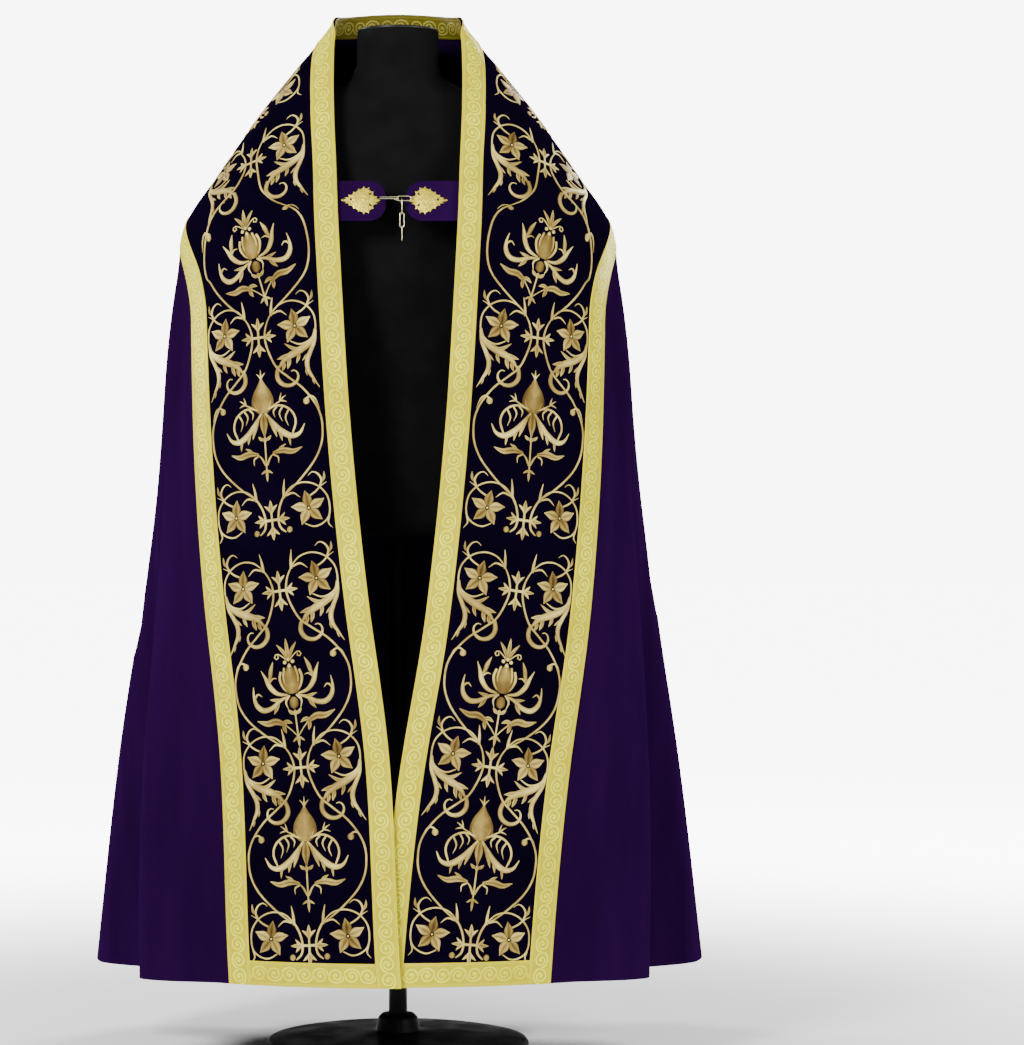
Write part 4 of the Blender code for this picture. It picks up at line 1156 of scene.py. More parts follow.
def on_hood(across, down, lift):
    across, down, lift = np.broadcast_arrays(*(np.asarray(a, float) for a in (across, down, lift)))
    share = np.clip(down / HOOD_DEPTH, 0, 1.2)
    lifted = HOOD_LIFT_TOP + (HOOD_LIFT_FOOT - HOOD_LIFT_TOP) * share + lift
    z = YOKE_Z - 4 * SEAM_GAP - down
    left, right = (lay(side, z, np.abs(across), lifted) for side in (-1, 1))
    return np.where((across > 0)[..., None], right, left)


def hood_outline(inset):
    """Half the outline, from the top of the side to the middle of the foot: across, down and outwards."""
    half, corner = HOOD_HALF_WIDTH - inset, HOOD_CORNER - inset
    turn = HOOD_DEPTH - HOOD_CORNER
    down = np.linspace(0, turn, HOOD_SIDE_POINTS)
    side = np.stack([np.full_like(down, half), down, np.ones_like(down), np.zeros_like(down)], axis=1)
    angle = np.linspace(0, math.pi / 2, HOOD_CORNER_POINTS)[1:]
    way = np.stack([np.cos(angle), np.sin(angle)], axis=1)
    centre = np.array([HOOD_HALF_WIDTH - HOOD_CORNER, turn])
    rounded = np.hstack([centre + corner * way, way])
    across = np.linspace(centre[0], 0, 14)[1:]
    foot = np.stack([across, np.full_like(across, HOOD_DEPTH - inset), np.zeros_like(across),
                     np.ones_like(across)], axis=1)
    return np.concatenate([side, rounded, foot])


def whole_outline(inset):
    half = hood_outline(inset)
    return np.concatenate([half * [-1, 1, -1, 1], half[-2::-1]])


print("hood outline:", len(whole_outline(0.0)), "points")

# %% Hood and band
HOOD_COLUMNS = 60


def hood_faces():
    half = hood_outline(BAND_WIDTH + SEAM_GAP)[: HOOD_SIDE_POINTS + HOOD_CORNER_POINTS - 1]
    across = half[:, :1] * np.linspace(-1, 1, HOOD_COLUMNS + 1)[None]
    down = np.repeat(half[:, 1:2], HOOD_COLUMNS + 1, axis=1)
    uv = np.stack([across + 0.5, 1.0 - down], axis=2)
    return on_hood(across, down, HOOD_THICK), on_hood(across, down, 0.0), uv


hood_outer, hood_inner, hood_uv = hood_faces()
hood = cloth_piece("velvet_hood", (hood_outer, hood_inner), hood_uv, [VELVET, LINING], "velvet", "hood")

rim, seam = whole_outline(0.0), whole_outline(BAND_WIDTH)
across_band = BRAID_SHARES[None, :, None]
band_plane = seam[:, None, :2] * (1 - across_band) + rim[:, None, :2] * across_band
band_faces = [on_hood(band_plane[..., 0], band_plane[..., 1], lift[None])
              for lift in (BAND_THICK * (0.35 + 0.65 * BRAID_HEIGHTS), np.zeros(len(BRAID_SHARES)))]
band_uv = braid_uv(band_faces[0]) * [BAND_WIDTH / GALLOON_WIDTH, 1.0] + [0.0112, 0.0]
hood_band = cloth_piece("braid_hood_edge", band_faces, band_uv, [CREAM_BRAID], "cream_band", "hood_band")
print("hood area:", round(surface_area(hood_outer), 4))

# %% [markdown]
# ## The bullion fringe
#
# Bullion is a heavy twisted cord, hung in hundreds of strands from a woven head. A strand is a bent,
# tapering tube of six sides. Its length, lean and curl are drawn from a seeded random generator, so that
# the fringe is the same each time. At the sides of the hood the strands turn downwards, because they hang.

# %% Strands
FRINGE_STRANDS = 620
FRINGE_GAP, FRINGE_HEAD = 0.0011, 0.0062
FRINGE_FOOT_LENGTH, FRINGE_SIDE_LENGTH = 0.0435, 0.0325
STRAND_RADIUS = 0.00105
STRAND_TAPER = (0, 0.1, 0.9, 1), (0.75, 1, 0.95, 0.55)      # shares of the length, of the radius
STRAND_DROP = 1.15                # how strongly a strand at the side turns down
STRAND_RINGS, STRAND_SIDES = 8, 6
BUNCH_SIZES = (2, 3, 3, 4, 4, 5, 6)      # strands that cling together


def fringe_stations(count):
    """Where each strand starts on the outline, and its way out."""
    line = whole_outline(0.0)
    run = travelled(line[:, :2])
    at = np.linspace(0.0008, run[-1] - 0.0008, count)
    stations = np.stack([np.interp(at, run, line[:, k]) for k in range(4)], axis=1)
    return np.hstack([stations[:, :2], unit(stations[:, 2:])])


def strand_lines():
    """The middle line of every strand, as (strands, rings, across / down / lift)."""
    rng = random.Random(11)
    stations = fringe_stations(FRINGE_STRANDS)
    cling = np.zeros((FRINGE_STRANDS, 2))
    first = 0
    while first < FRINGE_STRANDS:
        bunch = slice(first, first + rng.choice(BUNCH_SIZES))
        cling[bunch] = (stations[bunch, :2].mean(axis=0) - stations[bunch, :2]) * rng.uniform(0.25, 0.62)
        first = bunch.stop
    lines = []
    for k, (across, down, out_across, out_down) in enumerate(stations):
        way = unit(np.array([out_across, out_down + STRAND_DROP * (1 - out_down)]))
        sideways = np.array([-way[1], way[0]])
        length = FRINGE_SIDE_LENGTH + (FRINGE_FOOT_LENGTH - FRINGE_SIDE_LENGTH) * out_down
        length *= 1 + rng.uniform(-0.07, 0.05)
        lean, curl = rng.gauss(0, 0.05), rng.gauss(0, 0.0009)
        layer = 0.0008 + 0.0013 * (k % 2) + rng.uniform(0, 0.0005)
        root = np.array([across, down]) + np.array([out_across, out_down]) * (FRINGE_HEAD - 0.002)
        line = []
        for t in np.linspace(0, 1, STRAND_RINGS):
            flat = root + way * length * t + sideways * (lean * length * t * t + curl * math.sin(5 * t))
            flat = flat + cling[k] * math.sin(1.6 * t)
            line.append((*flat, layer + 0.0012 * math.sin(3 * t) * (k % 3) / 2))
        lines.append(line)
    return np.array(lines)


def tube_faces(rings, sides):
    """The corners of a tube, one ring a row, and the faces between its rings."""
    index = np.arange(rings * sides).reshape(rings, sides)
    following = np.roll(index, -1, axis=1)
    return index, np.stack([index[:-1], index[1:], following[1:], following[:-1]], axis=2).reshape(-1, 4)


def fringe_mesh():
    lines = strand_lines()
    middle = on_hood(lines[..., 0], lines[..., 1], lines[..., 2])
    out = unit(on_hood(lines[..., 0], lines[..., 1], lines[..., 2] + 0.001) - middle)
    beside = np.cross(unit(np.gradient(middle, axis=1)), out)
    taper = np.interp(np.linspace(0, 1, STRAND_RINGS), *STRAND_TAPER) * STRAND_RADIUS
    angles = 2 * math.pi * np.arange(STRAND_SIDES) / STRAND_SIDES
    rings = middle[:, :, None] + taper[None, :, None, None] * (
        np.cos(angles)[None, None, :, None] * beside[:, :, None]
        + np.sin(angles)[None, None, :, None] * out[:, :, None]
    )
    one, tube = tube_faces(STRAND_RINGS, STRAND_SIDES)
    a, b = one[0], one[-1]
    ends = np.array([[a[0], a[1], a[2], a[3]], [a[0], a[3], a[4], a[5]],
                     [b[3], b[2], b[1], b[0]], [b[5], b[4], b[3], b[0]]])
    one_strand = np.concatenate([tube, ends])
    first = np.arange(len(lines)) * one.size
    quads = (first[:, None, None] + one_strand[None]).reshape(-1, 4)
    run = np.linspace(0, 1, STRAND_RINGS) * FRINGE_FOOT_LENGTH
    round_it = np.arange(STRAND_SIDES) * 0.0011
    uv = np.stack(np.broadcast_arrays(first[:, None, None] * 0.013 + run[None, :, None],
                                      round_it[None, None, :]), axis=3)
    return rings.reshape(-1, 3), quads, uv.reshape(-1, 2)


fringe = mesh_from_arrays("bullion_fringe", *fringe_mesh(), [BULLION])
print("fringe strands:", FRINGE_STRANDS, "faces:", len(fringe.data.polygons))

# %% [markdown]
# The strands' roots are buried in a narrow woven head, a plain strip under the hood's edge. Both go in one
# object.

# %% The head, joined to the strands
HEAD_THICK = 0.0030


def fringe_head_faces():
    line = whole_outline(0.0)
    shares = np.linspace(0, 1, 5)[None, :, None]
    near = line[:, :2] + line[:, 2:] * FRINGE_GAP
    far = line[:, :2] + line[:, 2:] * FRINGE_HEAD
    plane = near[:, None] * (1 - shares) + far[:, None] * shares
    lifts = HEAD_THICK * np.array([0.7, 1.0, 0.85, 1.0, 0.7])[None], np.zeros((1, 5))
    return [on_hood(plane[..., 0], plane[..., 1], lift) for lift in lifts]


def pick(*pieces):
    bpy.ops.object.select_all(action="DESELECT")
    for piece in pieces:
        piece.select_set(True)
    bpy.context.view_layer.objects.active = pieces[0]


def join(pieces, name):
    pick(*pieces)
    bpy.ops.object.join()
    pieces[0].name = pieces[0].data.name = name
    return pieces[0]


head_faces = fringe_head_faces()
fringe_head = cloth_shell("fringe_head", *head_faces, metres_uv(head_faces[0]), [BULLION])
fringe = dress(join([fringe, fringe_head], "bullion_fringe"), "fringe", "hood_fringe")
print(fringe.name, len(fringe.data.polygons), "faces")

# %% [markdown]
# ## Embroidery
#
# The velvet carries a scrolling pattern in gold thread. It could be printed on the cloth, but real
# embroidery stands up from the pile. So each stitched shape is a low closed cushion along a line, as wide
# as its profile says. It is drawn flat, in millimetres, and carried onto the cloth afterwards.

# %% A smooth line through a few points
MILLI = 0.001
RING_STEP = 0.0042
CURVE_STEPS = 12


def smooth_line(points, steps):
    """A smooth line through points, with the same number of steps between each two."""
    points = np.asarray(points, float)
    padded = np.concatenate([[2 * points[0] - points[1]], points, [2 * points[-1] - points[-2]]])
    t = np.linspace(0, 1, steps, endpoint=False)[:, None]
    runs = [
        0.5 * (2 * b + (c - a) * t + (2 * a - 5 * b + 4 * c - d) * t**2 + (3 * b - a - 3 * c + d) * t**3)
        for a, b, c, d in zip(padded, padded[1:], padded[2:], padded[3:])
    ]
    return np.concatenate([*runs, points[-1:]])


def line_through(points):
    """Even points along a smooth line through the given ones."""
    points = np.asarray(points, float)
    if len(points) == 2:
        points = np.array([points[0], points.mean(axis=0), points[1]])
    fine = smooth_line(points, CURVE_STEPS)
    run = travelled(fine)
    at = np.linspace(0, run[-1], max(6, int(round(run[-1] / RING_STEP)) + 1))
    return np.stack([np.interp(at, run, fine[:, k]) for k in (0, 1)], axis=1)


print("rings in a line of 100 mm:", len(line_through([(0, 0), (0.1, 0)])))

# %% One stitched shape
PROFILES = {                      # shares of the length, half widths there, section, height
    "vine": ((0, 0.08, 0.92, 1), (0.6, 1, 1, 0.6), "round", 0.0010),
    "taper": ((0, 0.3, 0.7, 1), (0.9, 1.0, 0.6, 0.14), "round", 0.0010),
    "horn": ((0, 0.25, 0.6, 1), (0.35, 0.8, 1.0, 0.12), "round", 0.0011),
    "leaf": ((0, 0.25, 0.5, 0.8, 1), (0.3, 0.85, 1, 0.6, 0.1), "veined", 0.0011),
    "petal": ((0, 0.2, 0.42, 0.62, 0.82, 1), (0.26, 0.80, 1, 0.78, 0.36, 0.05), "veined", 0.0012),
    "bead": ((0, 0.12, 0.5, 0.88, 1), (0.35, 0.75, 1, 0.75, 0.35), "round", 0.0013),
    "bud": ((0, 0.12, 0.35, 0.6, 0.82, 1), (0.4, 0.85, 1, 0.78, 0.36, 0.06), "round", 0.0012),
}
SECTION_ACROSS = np.array([-1.0, -0.6, 0.0, 0.6, 1.0, 0.0])
SECTION_HEIGHT = {"round": np.array([0.0, 0.8, 1.0, 0.8, 0.0, -0.1]),
                  "veined": np.array([0.0, 0.95, 0.5, 0.95, 0.0, -0.1])}
# Painted light across a shape: round ones paler on the crest and darker at the edges, veined ones darker in
# the vein.
SECTION_PAINTED_LIGHT = {"round": np.array([-0.22, 0.02, 0.14, 0.02, -0.22, 0.0]),
                 "veined": np.array([-0.20, 0.10, -0.30, 0.10, -0.20, 0.0])}
SECTION_POINTS = len(SECTION_ACROSS)
CAPS = ((0, 1, 2, 5), (2, 3, 4, 5))


def stitched(profile, half_width, shades, *points):
    """A shape along a line of points in millimetres, as arrays: plane, height, shade, uv and quads."""
    shares, widths, section, tall = PROFILES[profile]
    line = line_through(np.array(points) * MILLI)
    run = travelled(line)
    share = run / run[-1]
    ways = unit(np.gradient(line, axis=0))
    beside = np.stack([ways[:, 1], -ways[:, 0]], axis=1)
    width = np.clip(smooth_curve(shares, widths, share), 0.06, 1.05)
    across = half_width * MILLI * width[:, None] * SECTION_ACROSS
    height = tall * np.sqrt(width)[:, None] * SECTION_HEIGHT[section]
    shade = np.interp(share, [0, 1], shades)[:, None] + SECTION_PAINTED_LIGHT[section]
    index, tube = tube_faces(len(line), SECTION_POINTS)
    caps = [index[0, list(cap)] for cap in CAPS] + [index[-1, list(cap)][::-1] for cap in CAPS]
    return {
        "plane": (line[:, None] + beside[:, None] * across[..., None]).reshape(-1, 2),
        "height": height.ravel(),
        "shade": shade.ravel(),
        "uv": np.stack([np.broadcast_to(run[:, None], across.shape), across], axis=2).reshape(-1, 2),
        "quads": np.concatenate([tube, caps]),
    }


def merged(motifs):
    """Several motifs as one."""
    firsts = np.cumsum([0] + [len(motif["plane"]) for motif in motifs])
    keys = ("plane", "height", "shade", "uv")
    whole = {key: np.concatenate([motif[key] for motif in motifs]) for key in keys}
    whole["quads"] = np.concatenate([motif["quads"] + first for motif, first in zip(motifs, firsts)])
    return whole


def moved(motif, at=(0.0, 0.0), turn=0.0, size=1.0, mirrored=False, shade=0.0):
    """A copy of a motif: mirrored across its axis, scaled, turned by degrees and moved by millimetres."""
    flip = np.array([-1.0 if mirrored else 1.0, 1.0])
    cos, sin = math.cos(math.radians(turn)), math.sin(math.radians(turn))
    plane = motif["plane"] * flip * size @ np.array([[cos, sin], [-sin, cos]]) + np.array(at) * MILLI
    quads = motif["quads"][:, ::-1] if mirrored else motif["quads"]
    return {**motif, "plane": plane, "quads": quads, "shade": motif["shade"] + shade}


def drawn(text):
    """The shapes of a table: profile, half width, shade at each end, then points as across,along."""
    shapes = []
    for row in filter(None, text.splitlines()):
        profile, half_width, *shades_and_points = row.split()
        shades = [float(shade) for shade in shades_and_points[:2]]
        points = [[float(part) for part in point.split(",")] for point in shades_and_points[2:]]
        shapes.append(stitched(profile, float(half_width), shades, *points))
    return merged(shapes)


def both_sides(motif):
    return merged([motif, moved(motif, mirrored=True)])


print("points in a petal:", len(stitched("petal", 6, (0.5, 0.8), (0, 4), (0, 24))["plane"]))

# %% [markdown]
# A flower has five petals, two of them in a browner thread, round a bead. A cross has four arms that end
# in three leaves each.

# %% Flower and cross
PETAL_SHADES = (0.46, 0.76, 0.70, 0.58, 0.80)


def make_flower():
    petal = stitched("petal", 7.2, (0.52, 0.70), (0, 3), (0.6, 14), (0, 26.5))
    petals = [moved(petal, turn=72 * k, shade=tone - 0.6) for k, tone in enumerate(PETAL_SHADES)]
    return merged(petals + [stitched("bead", 1.5, (1.0, 1.0), (0, -1.5), (0, 1.5))])


CROSS_TIP = """
leaf 3.4 .66 .86 0,8 0,29.5
horn 2.4 .66 .86 0,9 3,16 10,22
horn 2.4 .66 .86 0,9 -3,16 -10,22
"""


def make_cross():
    tip = drawn(CROSS_TIP)
    bars = [stitched("vine", 1.6, (0.8, 0.8), (0, -13), (0, 13)),
            stitched("vine", 1.9, (0.86, 0.86), (-13, 0), (13, 0))]
    return merged(bars + [moved(tip, turn=90 * k, size=0.93 if k % 2 else 1.0) for k in range(4)])


FLOWER, CROSS = make_flower(), make_cross()
print("faces in a flower and a cross:", len(FLOWER["quads"]), len(CROSS["quads"]))

# %% [markdown]
# The scroll round each flower is the same in every repeat. Only its right half is drawn, from the middle
# of the cross: a ring that swirls under the flower, a hooked twig above it, a long outer leaf, and an
# acanthus leaf that ends in a curl.

# %% The scroll's right half: profile, half width, shades, points (across, along) in millimetres
RING = """
vine 1.25 .8 .86 23,35 36,46 54,49.5 72,43 85,28 88,10 85,-5 75,-14 62,-17 49,-11
taper 1.7 .8 .9 24,33 36,36 46,28
taper 1.5 .8 .9 61,29 70,34 78,41 87,46
taper 1.7 .78 .9 76,40 80,50 75,60 67,63 61,58
leaf 2 .6 .78 79,46 84,52 85,62
"""
JUNCTION_LEAF = """
taper 2.2 .74 .9 21.5,30 22.5,44 25,58
"""
ACANTHUS = """
horn 5.4 .8 .56 87,4 84,-9 74,-19 60,-27 46,-33 35,-41 27,-53
taper 3.5 .52 .88 29,-46 25.5,-57 27,-67 35,-75 46,-76.5 55,-71 57.5,-62 53,-55 47,-56
leaf 2.7 .7 .86 68,-23 54,-23 40,-14
leaf 3.4 .58 .84 52,-30 40,-33 27,-36
leaf 3.2 .52 .82 46,-33 45,-43 42,-52
leaf 2.7 .56 .82 60,-27 60,-36 56,-45
leaf 2.9 .5 .78 37,-40 37,-47 34,-54
"""
OUTER_LEAF = """
horn 3.4 .8 .74 88,2 85,-15 77,-31 72,-44 73,-57 80,-70 88,-84
leaf 1.9 .66 .86 76,-31 71,-36 65,-42
leaf 1.9 .62 .84 74,-50 70,-57 71,-65
leaf 1.6 .62 .84 80,-66 79,-72 81,-79
"""
BALL_TWIG = """
taper 1.5 .86 .7 67,-99 73,-95.5 80,-100 86,-115
bead 4.6 .66 .66 67,-107 67,-97.5
"""
FOOT_STEM = """
vine 1.6 .8 .8 23,36 14,19 10,2 12,-12 20,-20
bead 4.2 .6 .6 25.5,-21 25.5,-12.5
taper 1.4 .8 .9 86,-4 83.5,-14 89,-22
"""
LONG_VINE = ((14, 19), (10, 0), (14, -20), (25, -44), (41, -59), (62, -77), (78, -98), (86, -116),
             (88, -134), (85, -157), (73, -180), (51, -203), (31, -219))
UNIT_PITCH = 257
JUNCTION = (23, 35)

RING_HALF, ACANTHUS_HALF = drawn(RING), drawn(ACANTHUS + OUTER_LEAF)
print("faces in half a scroll:", len(RING_HALF["quads"]) + len(ACANTHUS_HALF["quads"]))

# %% The two large flowers, right half and middle
THISTLE_HALF = """
leaf 2.6 .62 .84 2,31 6,42 15,54
vine .9 .85 .85 2,29 8,35 15,40 20,38 19,33 14.5,34 15,38
bead 2.7 1 1 6,24 6,29
horn 3.6 .7 .84 8,-21 23,-17 33,-6 38,7 44,20
horn 3.2 .5 .8 35,0 31,9 29,18 24,30
taper 1.6 .66 .86 33,1 27,6 21,5
horn 3.8 .66 .86 6,-23 19,-27 33,-36 47,-38 57,-29 60,-15 59,-2
leaf 2.8 .55 .78 22,-28 26,-37 32,-46
leaf 2.4 .6 .82 17,-26 26,-26 36,-24
taper 1.7 .7 .86 59,-19 53,-13 47,-18
taper 1.8 .8 .86 5,-22 12,-31 9,-42
leaf 2.6 .66 .84 1,-50 6,-47 10,-42
vine .9 .76 .76 1,-82 9,-72 17,-64
leaf 5 .52 .76 15,-65 30,-57 44,-58 59,-52
leaf 3 .6 .78 22,-61 14,-59 6,-63
leaf 3 .5 .74 20,-62 19,-69 17,-76
leaf 1.7 .7 .86 0,-82 4,-86 9,-90
taper 2.1 .84 .7 14,14 16.8,2 12,-12 3,-19
taper 1.9 .76 .6 8,19 11,4 8,-9 2,-17
"""
THISTLE_MIDDLE = """
bud 15 .34 .46 0,-20 0,6 0,25
bead 2.7 1 1 0,18 0,23
bead 2.7 .9 .9 0,27.5 0,32.5
leaf 3 .62 .86 0,31 0,61
taper 1.5 .74 .52 0,16 0,2 0,-14
bead 6.6 .22 .34 0,-42 0,-25
leaf 3 .72 .86 0,-44 0,-53
vine 1.2 .8 .8 0,-51 0,-84
leaf 2.2 .7 .88 0,-80 0,-98
"""
LILY_HALF = """
taper 1.2 .8 .9 0,49 3,54 7,58
vine 1.1 .78 .78 13,6 23,11 29,14
taper 1.3 .8 .9 28,14 33,13 38,11
taper 1.3 .8 .9 28,14 32,18 37,21
taper 1.3 .8 .9 27,13 28,19 30,25
vine 1.6 .8 .86 5,2 19,7 33,5 45,-5 49,-20 43,-37
taper 1.5 .84 .8 22,5.5 16,-1 18,-10
taper 1.5 .84 .8 31,5 25,-5 29,-17
taper 1.5 .84 .8 40,0 34,-12 38,-25
horn 4.4 .72 .88 3,-2 13,-16 26,-31 41,-40 54,-37 62,-24
horn 3.4 .5 .76 5,-4 13,-20 19,-39
leaf 2.4 .62 .84 22,-26 25,-36 27,-46
leaf 1.9 .66 .86 36,-37 38,-45 39,-54
leaf 3 .84 .7 2,0 9,8 14,19
leaf 2.4 .66 .86 1,-42 6,-40 10,-36
taper 1.7 .7 .8 1,-80 7,-68 15,-61
leaf 4.6 .56 .8 11,-62 27,-60 42,-63 56,-58
leaf 2.2 .6 .8 19,-60 25,-55 32,-51
taper 1.5 .76 .88 12,-65 19,-69 19,-78
leaf 1.7 .7 .86 0,-86 4,-89 9,-92
"""
LILY_MIDDLE = """
bud 17.5 .4 .52 0,-2 0,18 0,50
taper 1.4 .8 .9 0,47 0,63
leaf 3.2 .84 .66 0,-1 0,10 0,23
petal 6.2 .46 .6 0,-3 0,-39
leaf 2.6 .7 .84 0,-37 0,-47
vine 1.2 .8 .8 0,-44 0,-88
leaf 2 .7 .88 0,-84 0,-104
"""
THISTLE = merged([drawn(THISTLE_MIDDLE), both_sides(drawn(THISTLE_HALF))])
LILY = merged([drawn(LILY_MIDDLE), both_sides(drawn(LILY_HALF))])
print("faces in a thistle and a lily:", len(THISTLE["quads"]), len(LILY["quads"]))

# %% [markdown]
# ## Laying the pattern along the orphrey
#
# The pattern follows a guide line, the middle of the velvet from the hem to the centre back. Vines bend
# with the guide: each point starts on it and walks straight across the cloth. Flowers and crosses keep
# their shape: every point walks there from one pin. Each short step of a walk stays on the cloth.

# %% The guide line and the walk over the cloth
WALK_STEPS = 6
PROBE = 0.0015
YOKE_GUIDE = 0.148                # from the neck to the middle of the yoke's velvet
GUIDE_SOFT = 12
GUIDE_POINTS = 81                 # points along a rung when its middle is looked for


def make_guide(side):
    inner, outer = RUNGS[side]["inner"], RUNGS[side]["outer"]
    turned = ease((np.arange(len(inner)) - FRONT_RUNGS) / (len(inner) - 1 - FRONT_RUNGS))
    aims = ORPHREY_WIDTH / 2 + (YOKE_GUIDE - ORPHREY_WIDTH / 2) * turned
    path = inner + (outer - inner) * shares_at(side, inner, outer, aims, GUIDE_POINTS)[:, None]
    padded = np.concatenate([2 * path[0] - path[GUIDE_SOFT:0:-1], path,
                             path[-2:-GUIDE_SOFT - 2:-1] * [1, -1]])
    kernel = np.hanning(2 * GUIDE_SOFT + 3)[1:-1]
    path = np.stack([np.convolve(column, kernel / kernel.sum(), "valid") for column in padded.T], axis=1)
    points = lay(side, *path.T)
    along = unit(np.gradient(points, axis=0))
    out = lay(side, path[:, 0], path[:, 1] - 0.01) - lay(side, path[:, 0], path[:, 1] + 0.01)
    down = lay(side, path[:, 0] - 0.01, path[:, 1]) - lay(side, path[:, 0] + 0.01, path[:, 1])
    out = unit(np.cross(np.cross(down, out), along))
    return {"path": path, "run": travelled(points), "along": along, "out": out}


def on_guide(side, run, key):
    guide = GUIDES[side]
    return np.stack([np.interp(run, guide["run"], column) for column in guide[key].T], axis=-1)


def walk(side, start, way, distance):
    """Goes straight over the cloth from points (z, g): way is a direction in space for each of them."""
    place = start.copy()
    for _ in range(WALK_STEPS):
        z, g = place.T
        up = (lay(side, z + PROBE, g) - lay(side, z - PROBE, g)) / (2 * PROBE)
        back = (lay(side, z, g + PROBE) - lay(side, z, g - PROBE)) / (2 * PROBE)
        normal = unit(np.cross(up, back))
        way = unit(way - (way * normal).sum(axis=1, keepdims=True) * normal)
        uu, ub, bb = ((a * b).sum(axis=1) for a, b in ((up, up), (up, back), (back, back)))
        wu, wb = (way * up).sum(axis=1), (way * back).sum(axis=1)
        share = distance / WALK_STEPS / (uu * bb - ub * ub)
        place += np.stack([(wu * bb - wb * ub) * share, (wb * uu - wu * ub) * share], axis=1)
    return place


def bent_with_guide(side, at, motif):
    """Where the points of a vine lie, as (z, g)."""
    across, along = motif["plane"].T
    start = on_guide(side, at + along, "path")
    way = on_guide(side, at + along, "out") * np.where(across < 0, -1.0, 1.0)[:, None]
    return walk(side, start, way, np.abs(across))


def pinned(side, at, motif):
    """Where the points of a stiff motif lie, as (z, g)."""
    across, along = motif["plane"].T
    count = len(across)
    middle = np.full(count, at)
    reach = np.maximum(np.hypot(across, along), 1e-6)
    way = on_guide(side, middle, "out") * across[:, None] + on_guide(side, middle, "along") * along[:, None]
    return walk(side, on_guide(side, middle, "path"), way / reach[:, None], reach)


GUIDES = {side: make_guide(side) for side in (-1, 1)}
print("guide line:", round(float(GUIDES[1]["run"][-1]), 3), "m")

# %% The places of the crosses
CROSS_LEVELS = (0.190, 0.445, 0.700, 0.803, 1.072, 1.339)
PANEL_GAP = 0.106                 # from the last cross of a panel to the first of the next
END_GAP = 0.063                   # from the last cross to the centre back
PANELS = ((0, 1, 2), (3, 4, 5), (6, 7))
LARGE_FLOWERS = {1: (LILY, 105), 2: (THISTLE, 130), 4: (LILY, 105), 5: (THISTLE, 130), 7: (THISTLE, 130)}
FLOWER_PLACE = (57, 11)


def cross_runs(side):
    guide = GUIDES[side]
    front = np.interp(CROSS_LEVELS, guide["path"][:FIRST_YOKE_RUNG, 0], guide["run"][:FIRST_YOKE_RUNG])
    return [*front, front[-1] + PANEL_GAP, guide["run"][-1] - END_GAP]


print("crosses along the guide:", [round(float(run), 3) for run in cross_runs(1)])


# %% Everything on one orphrey
def long_vine(pitch):
    """The vine from one cross down to the next, stretched to fit between them."""
    stretch = pitch / UNIT_PITCH
    points = [(across, along if along > 0 else along * stretch) for across, along in LONG_VINE]
    return stitched("vine", 1.5, (0.72, 0.72), JUNCTION, *points, (JUNCTION[0], JUNCTION[1] - pitch))


def orphrey_motifs(side):
    """Lists of (place on the guide, motif, how it is laid), for the scrolls and for the flowers."""
    scrolls, flowers = [], []
    runs = cross_runs(side)
    ring, foliage = both_sides(RING_HALF), both_sides(ACANTHUS_HALF)
    tip, foot, twig = (both_sides(drawn(rows)) for rows in (JUNCTION_LEAF, FOOT_STEM, BALL_TWIG))
    for panel in PANELS:
        for k in panel:
            scrolls.append((runs[k], ring, pinned))
            flowers.append((runs[k], CROSS, pinned))
            flowers += [(runs[k], moved(FLOWER, at=(sign * FLOWER_PLACE[0], FLOWER_PLACE[1]), turn=sign * 8,
                                        mirrored=sign < 0), pinned) for sign in (-1, 1)]
            if k < len(runs) - 1:
                scrolls.append((runs[k], tip, pinned))
            if k == panel[0]:
                scrolls.append((runs[k], foot, pinned))
                continue
            pitch = (runs[k] - runs[k - 1]) / MILLI
            scrolls += [(runs[k], foliage, pinned), (runs[k], both_sides(long_vine(pitch)), bent_with_guide),
                        (runs[k], twig, bent_with_guide)]
            motif, below = LARGE_FLOWERS[k]
            flowers.append((runs[k] - below * MILLI * pitch / UNIT_PITCH, motif, pinned))
    return {"scrolls": scrolls, "flowers": flowers}


def volume(points, quads):
    a, b, c, d = (points[quads[:, k]] for k in range(4))
    return float((a * (np.cross(b, c) + np.cross(c, d))).sum())


def embroider(name, slot, points, motif):
    quads = motif["quads"] if volume(points, motif["quads"]) > 0 else motif["quads"][:, ::-1]
    piece = mesh_from_arrays(name, points, quads, motif["uv"], [GOLD_THREAD], shade=motif["shade"])
    piece.data.set_sharp_from_angle(angle=math.radians(70))
    return dress(piece, slot)


THREAD_BASE = ORPHREY_THICK / 2 + 0.0001
PRESSED = 0.04                    # share of its height that a stitch keeps under a galloon
GALLOON_EDGE = 0.0006             # stitches are pressed flat this far before the galloon's edge


def pressed_flat(z, g):
    """How much of its height each stitch keeps: galloon lies over it at the foot and the centre back."""
    covered = (z < HEM_Z + GALLOON_WIDTH + GALLOON_EDGE) | (g < GALLOON_WIDTH / 2 + GALLOON_EDGE)
    return np.where(covered, PRESSED, 1.0)


EMBROIDERY = {"left": [], "right": []}
for side, word in SIDES:
    for kind, placed in orphrey_motifs(side).items():
        places = np.concatenate([how(side, at, motif) for at, motif, how in placed])
        whole = merged([motif for _, motif, _ in placed])
        stitches = lay(side, *places.T, THREAD_BASE + whole["height"] * pressed_flat(*places.T))
        EMBROIDERY[word].append(embroider(f"embroidered_{kind}_{word}", "galloon", stitches, whole))
        print(EMBROIDERY[word][-1].name, len(whole["quads"]), "faces")

# %% [markdown]
# The hood has four pairs of larger scrolls round a middle field, each turned to an edge, and a lily in each
# corner. The middle holds a large cross with a flower at its heart and a sprig in each of its angles.

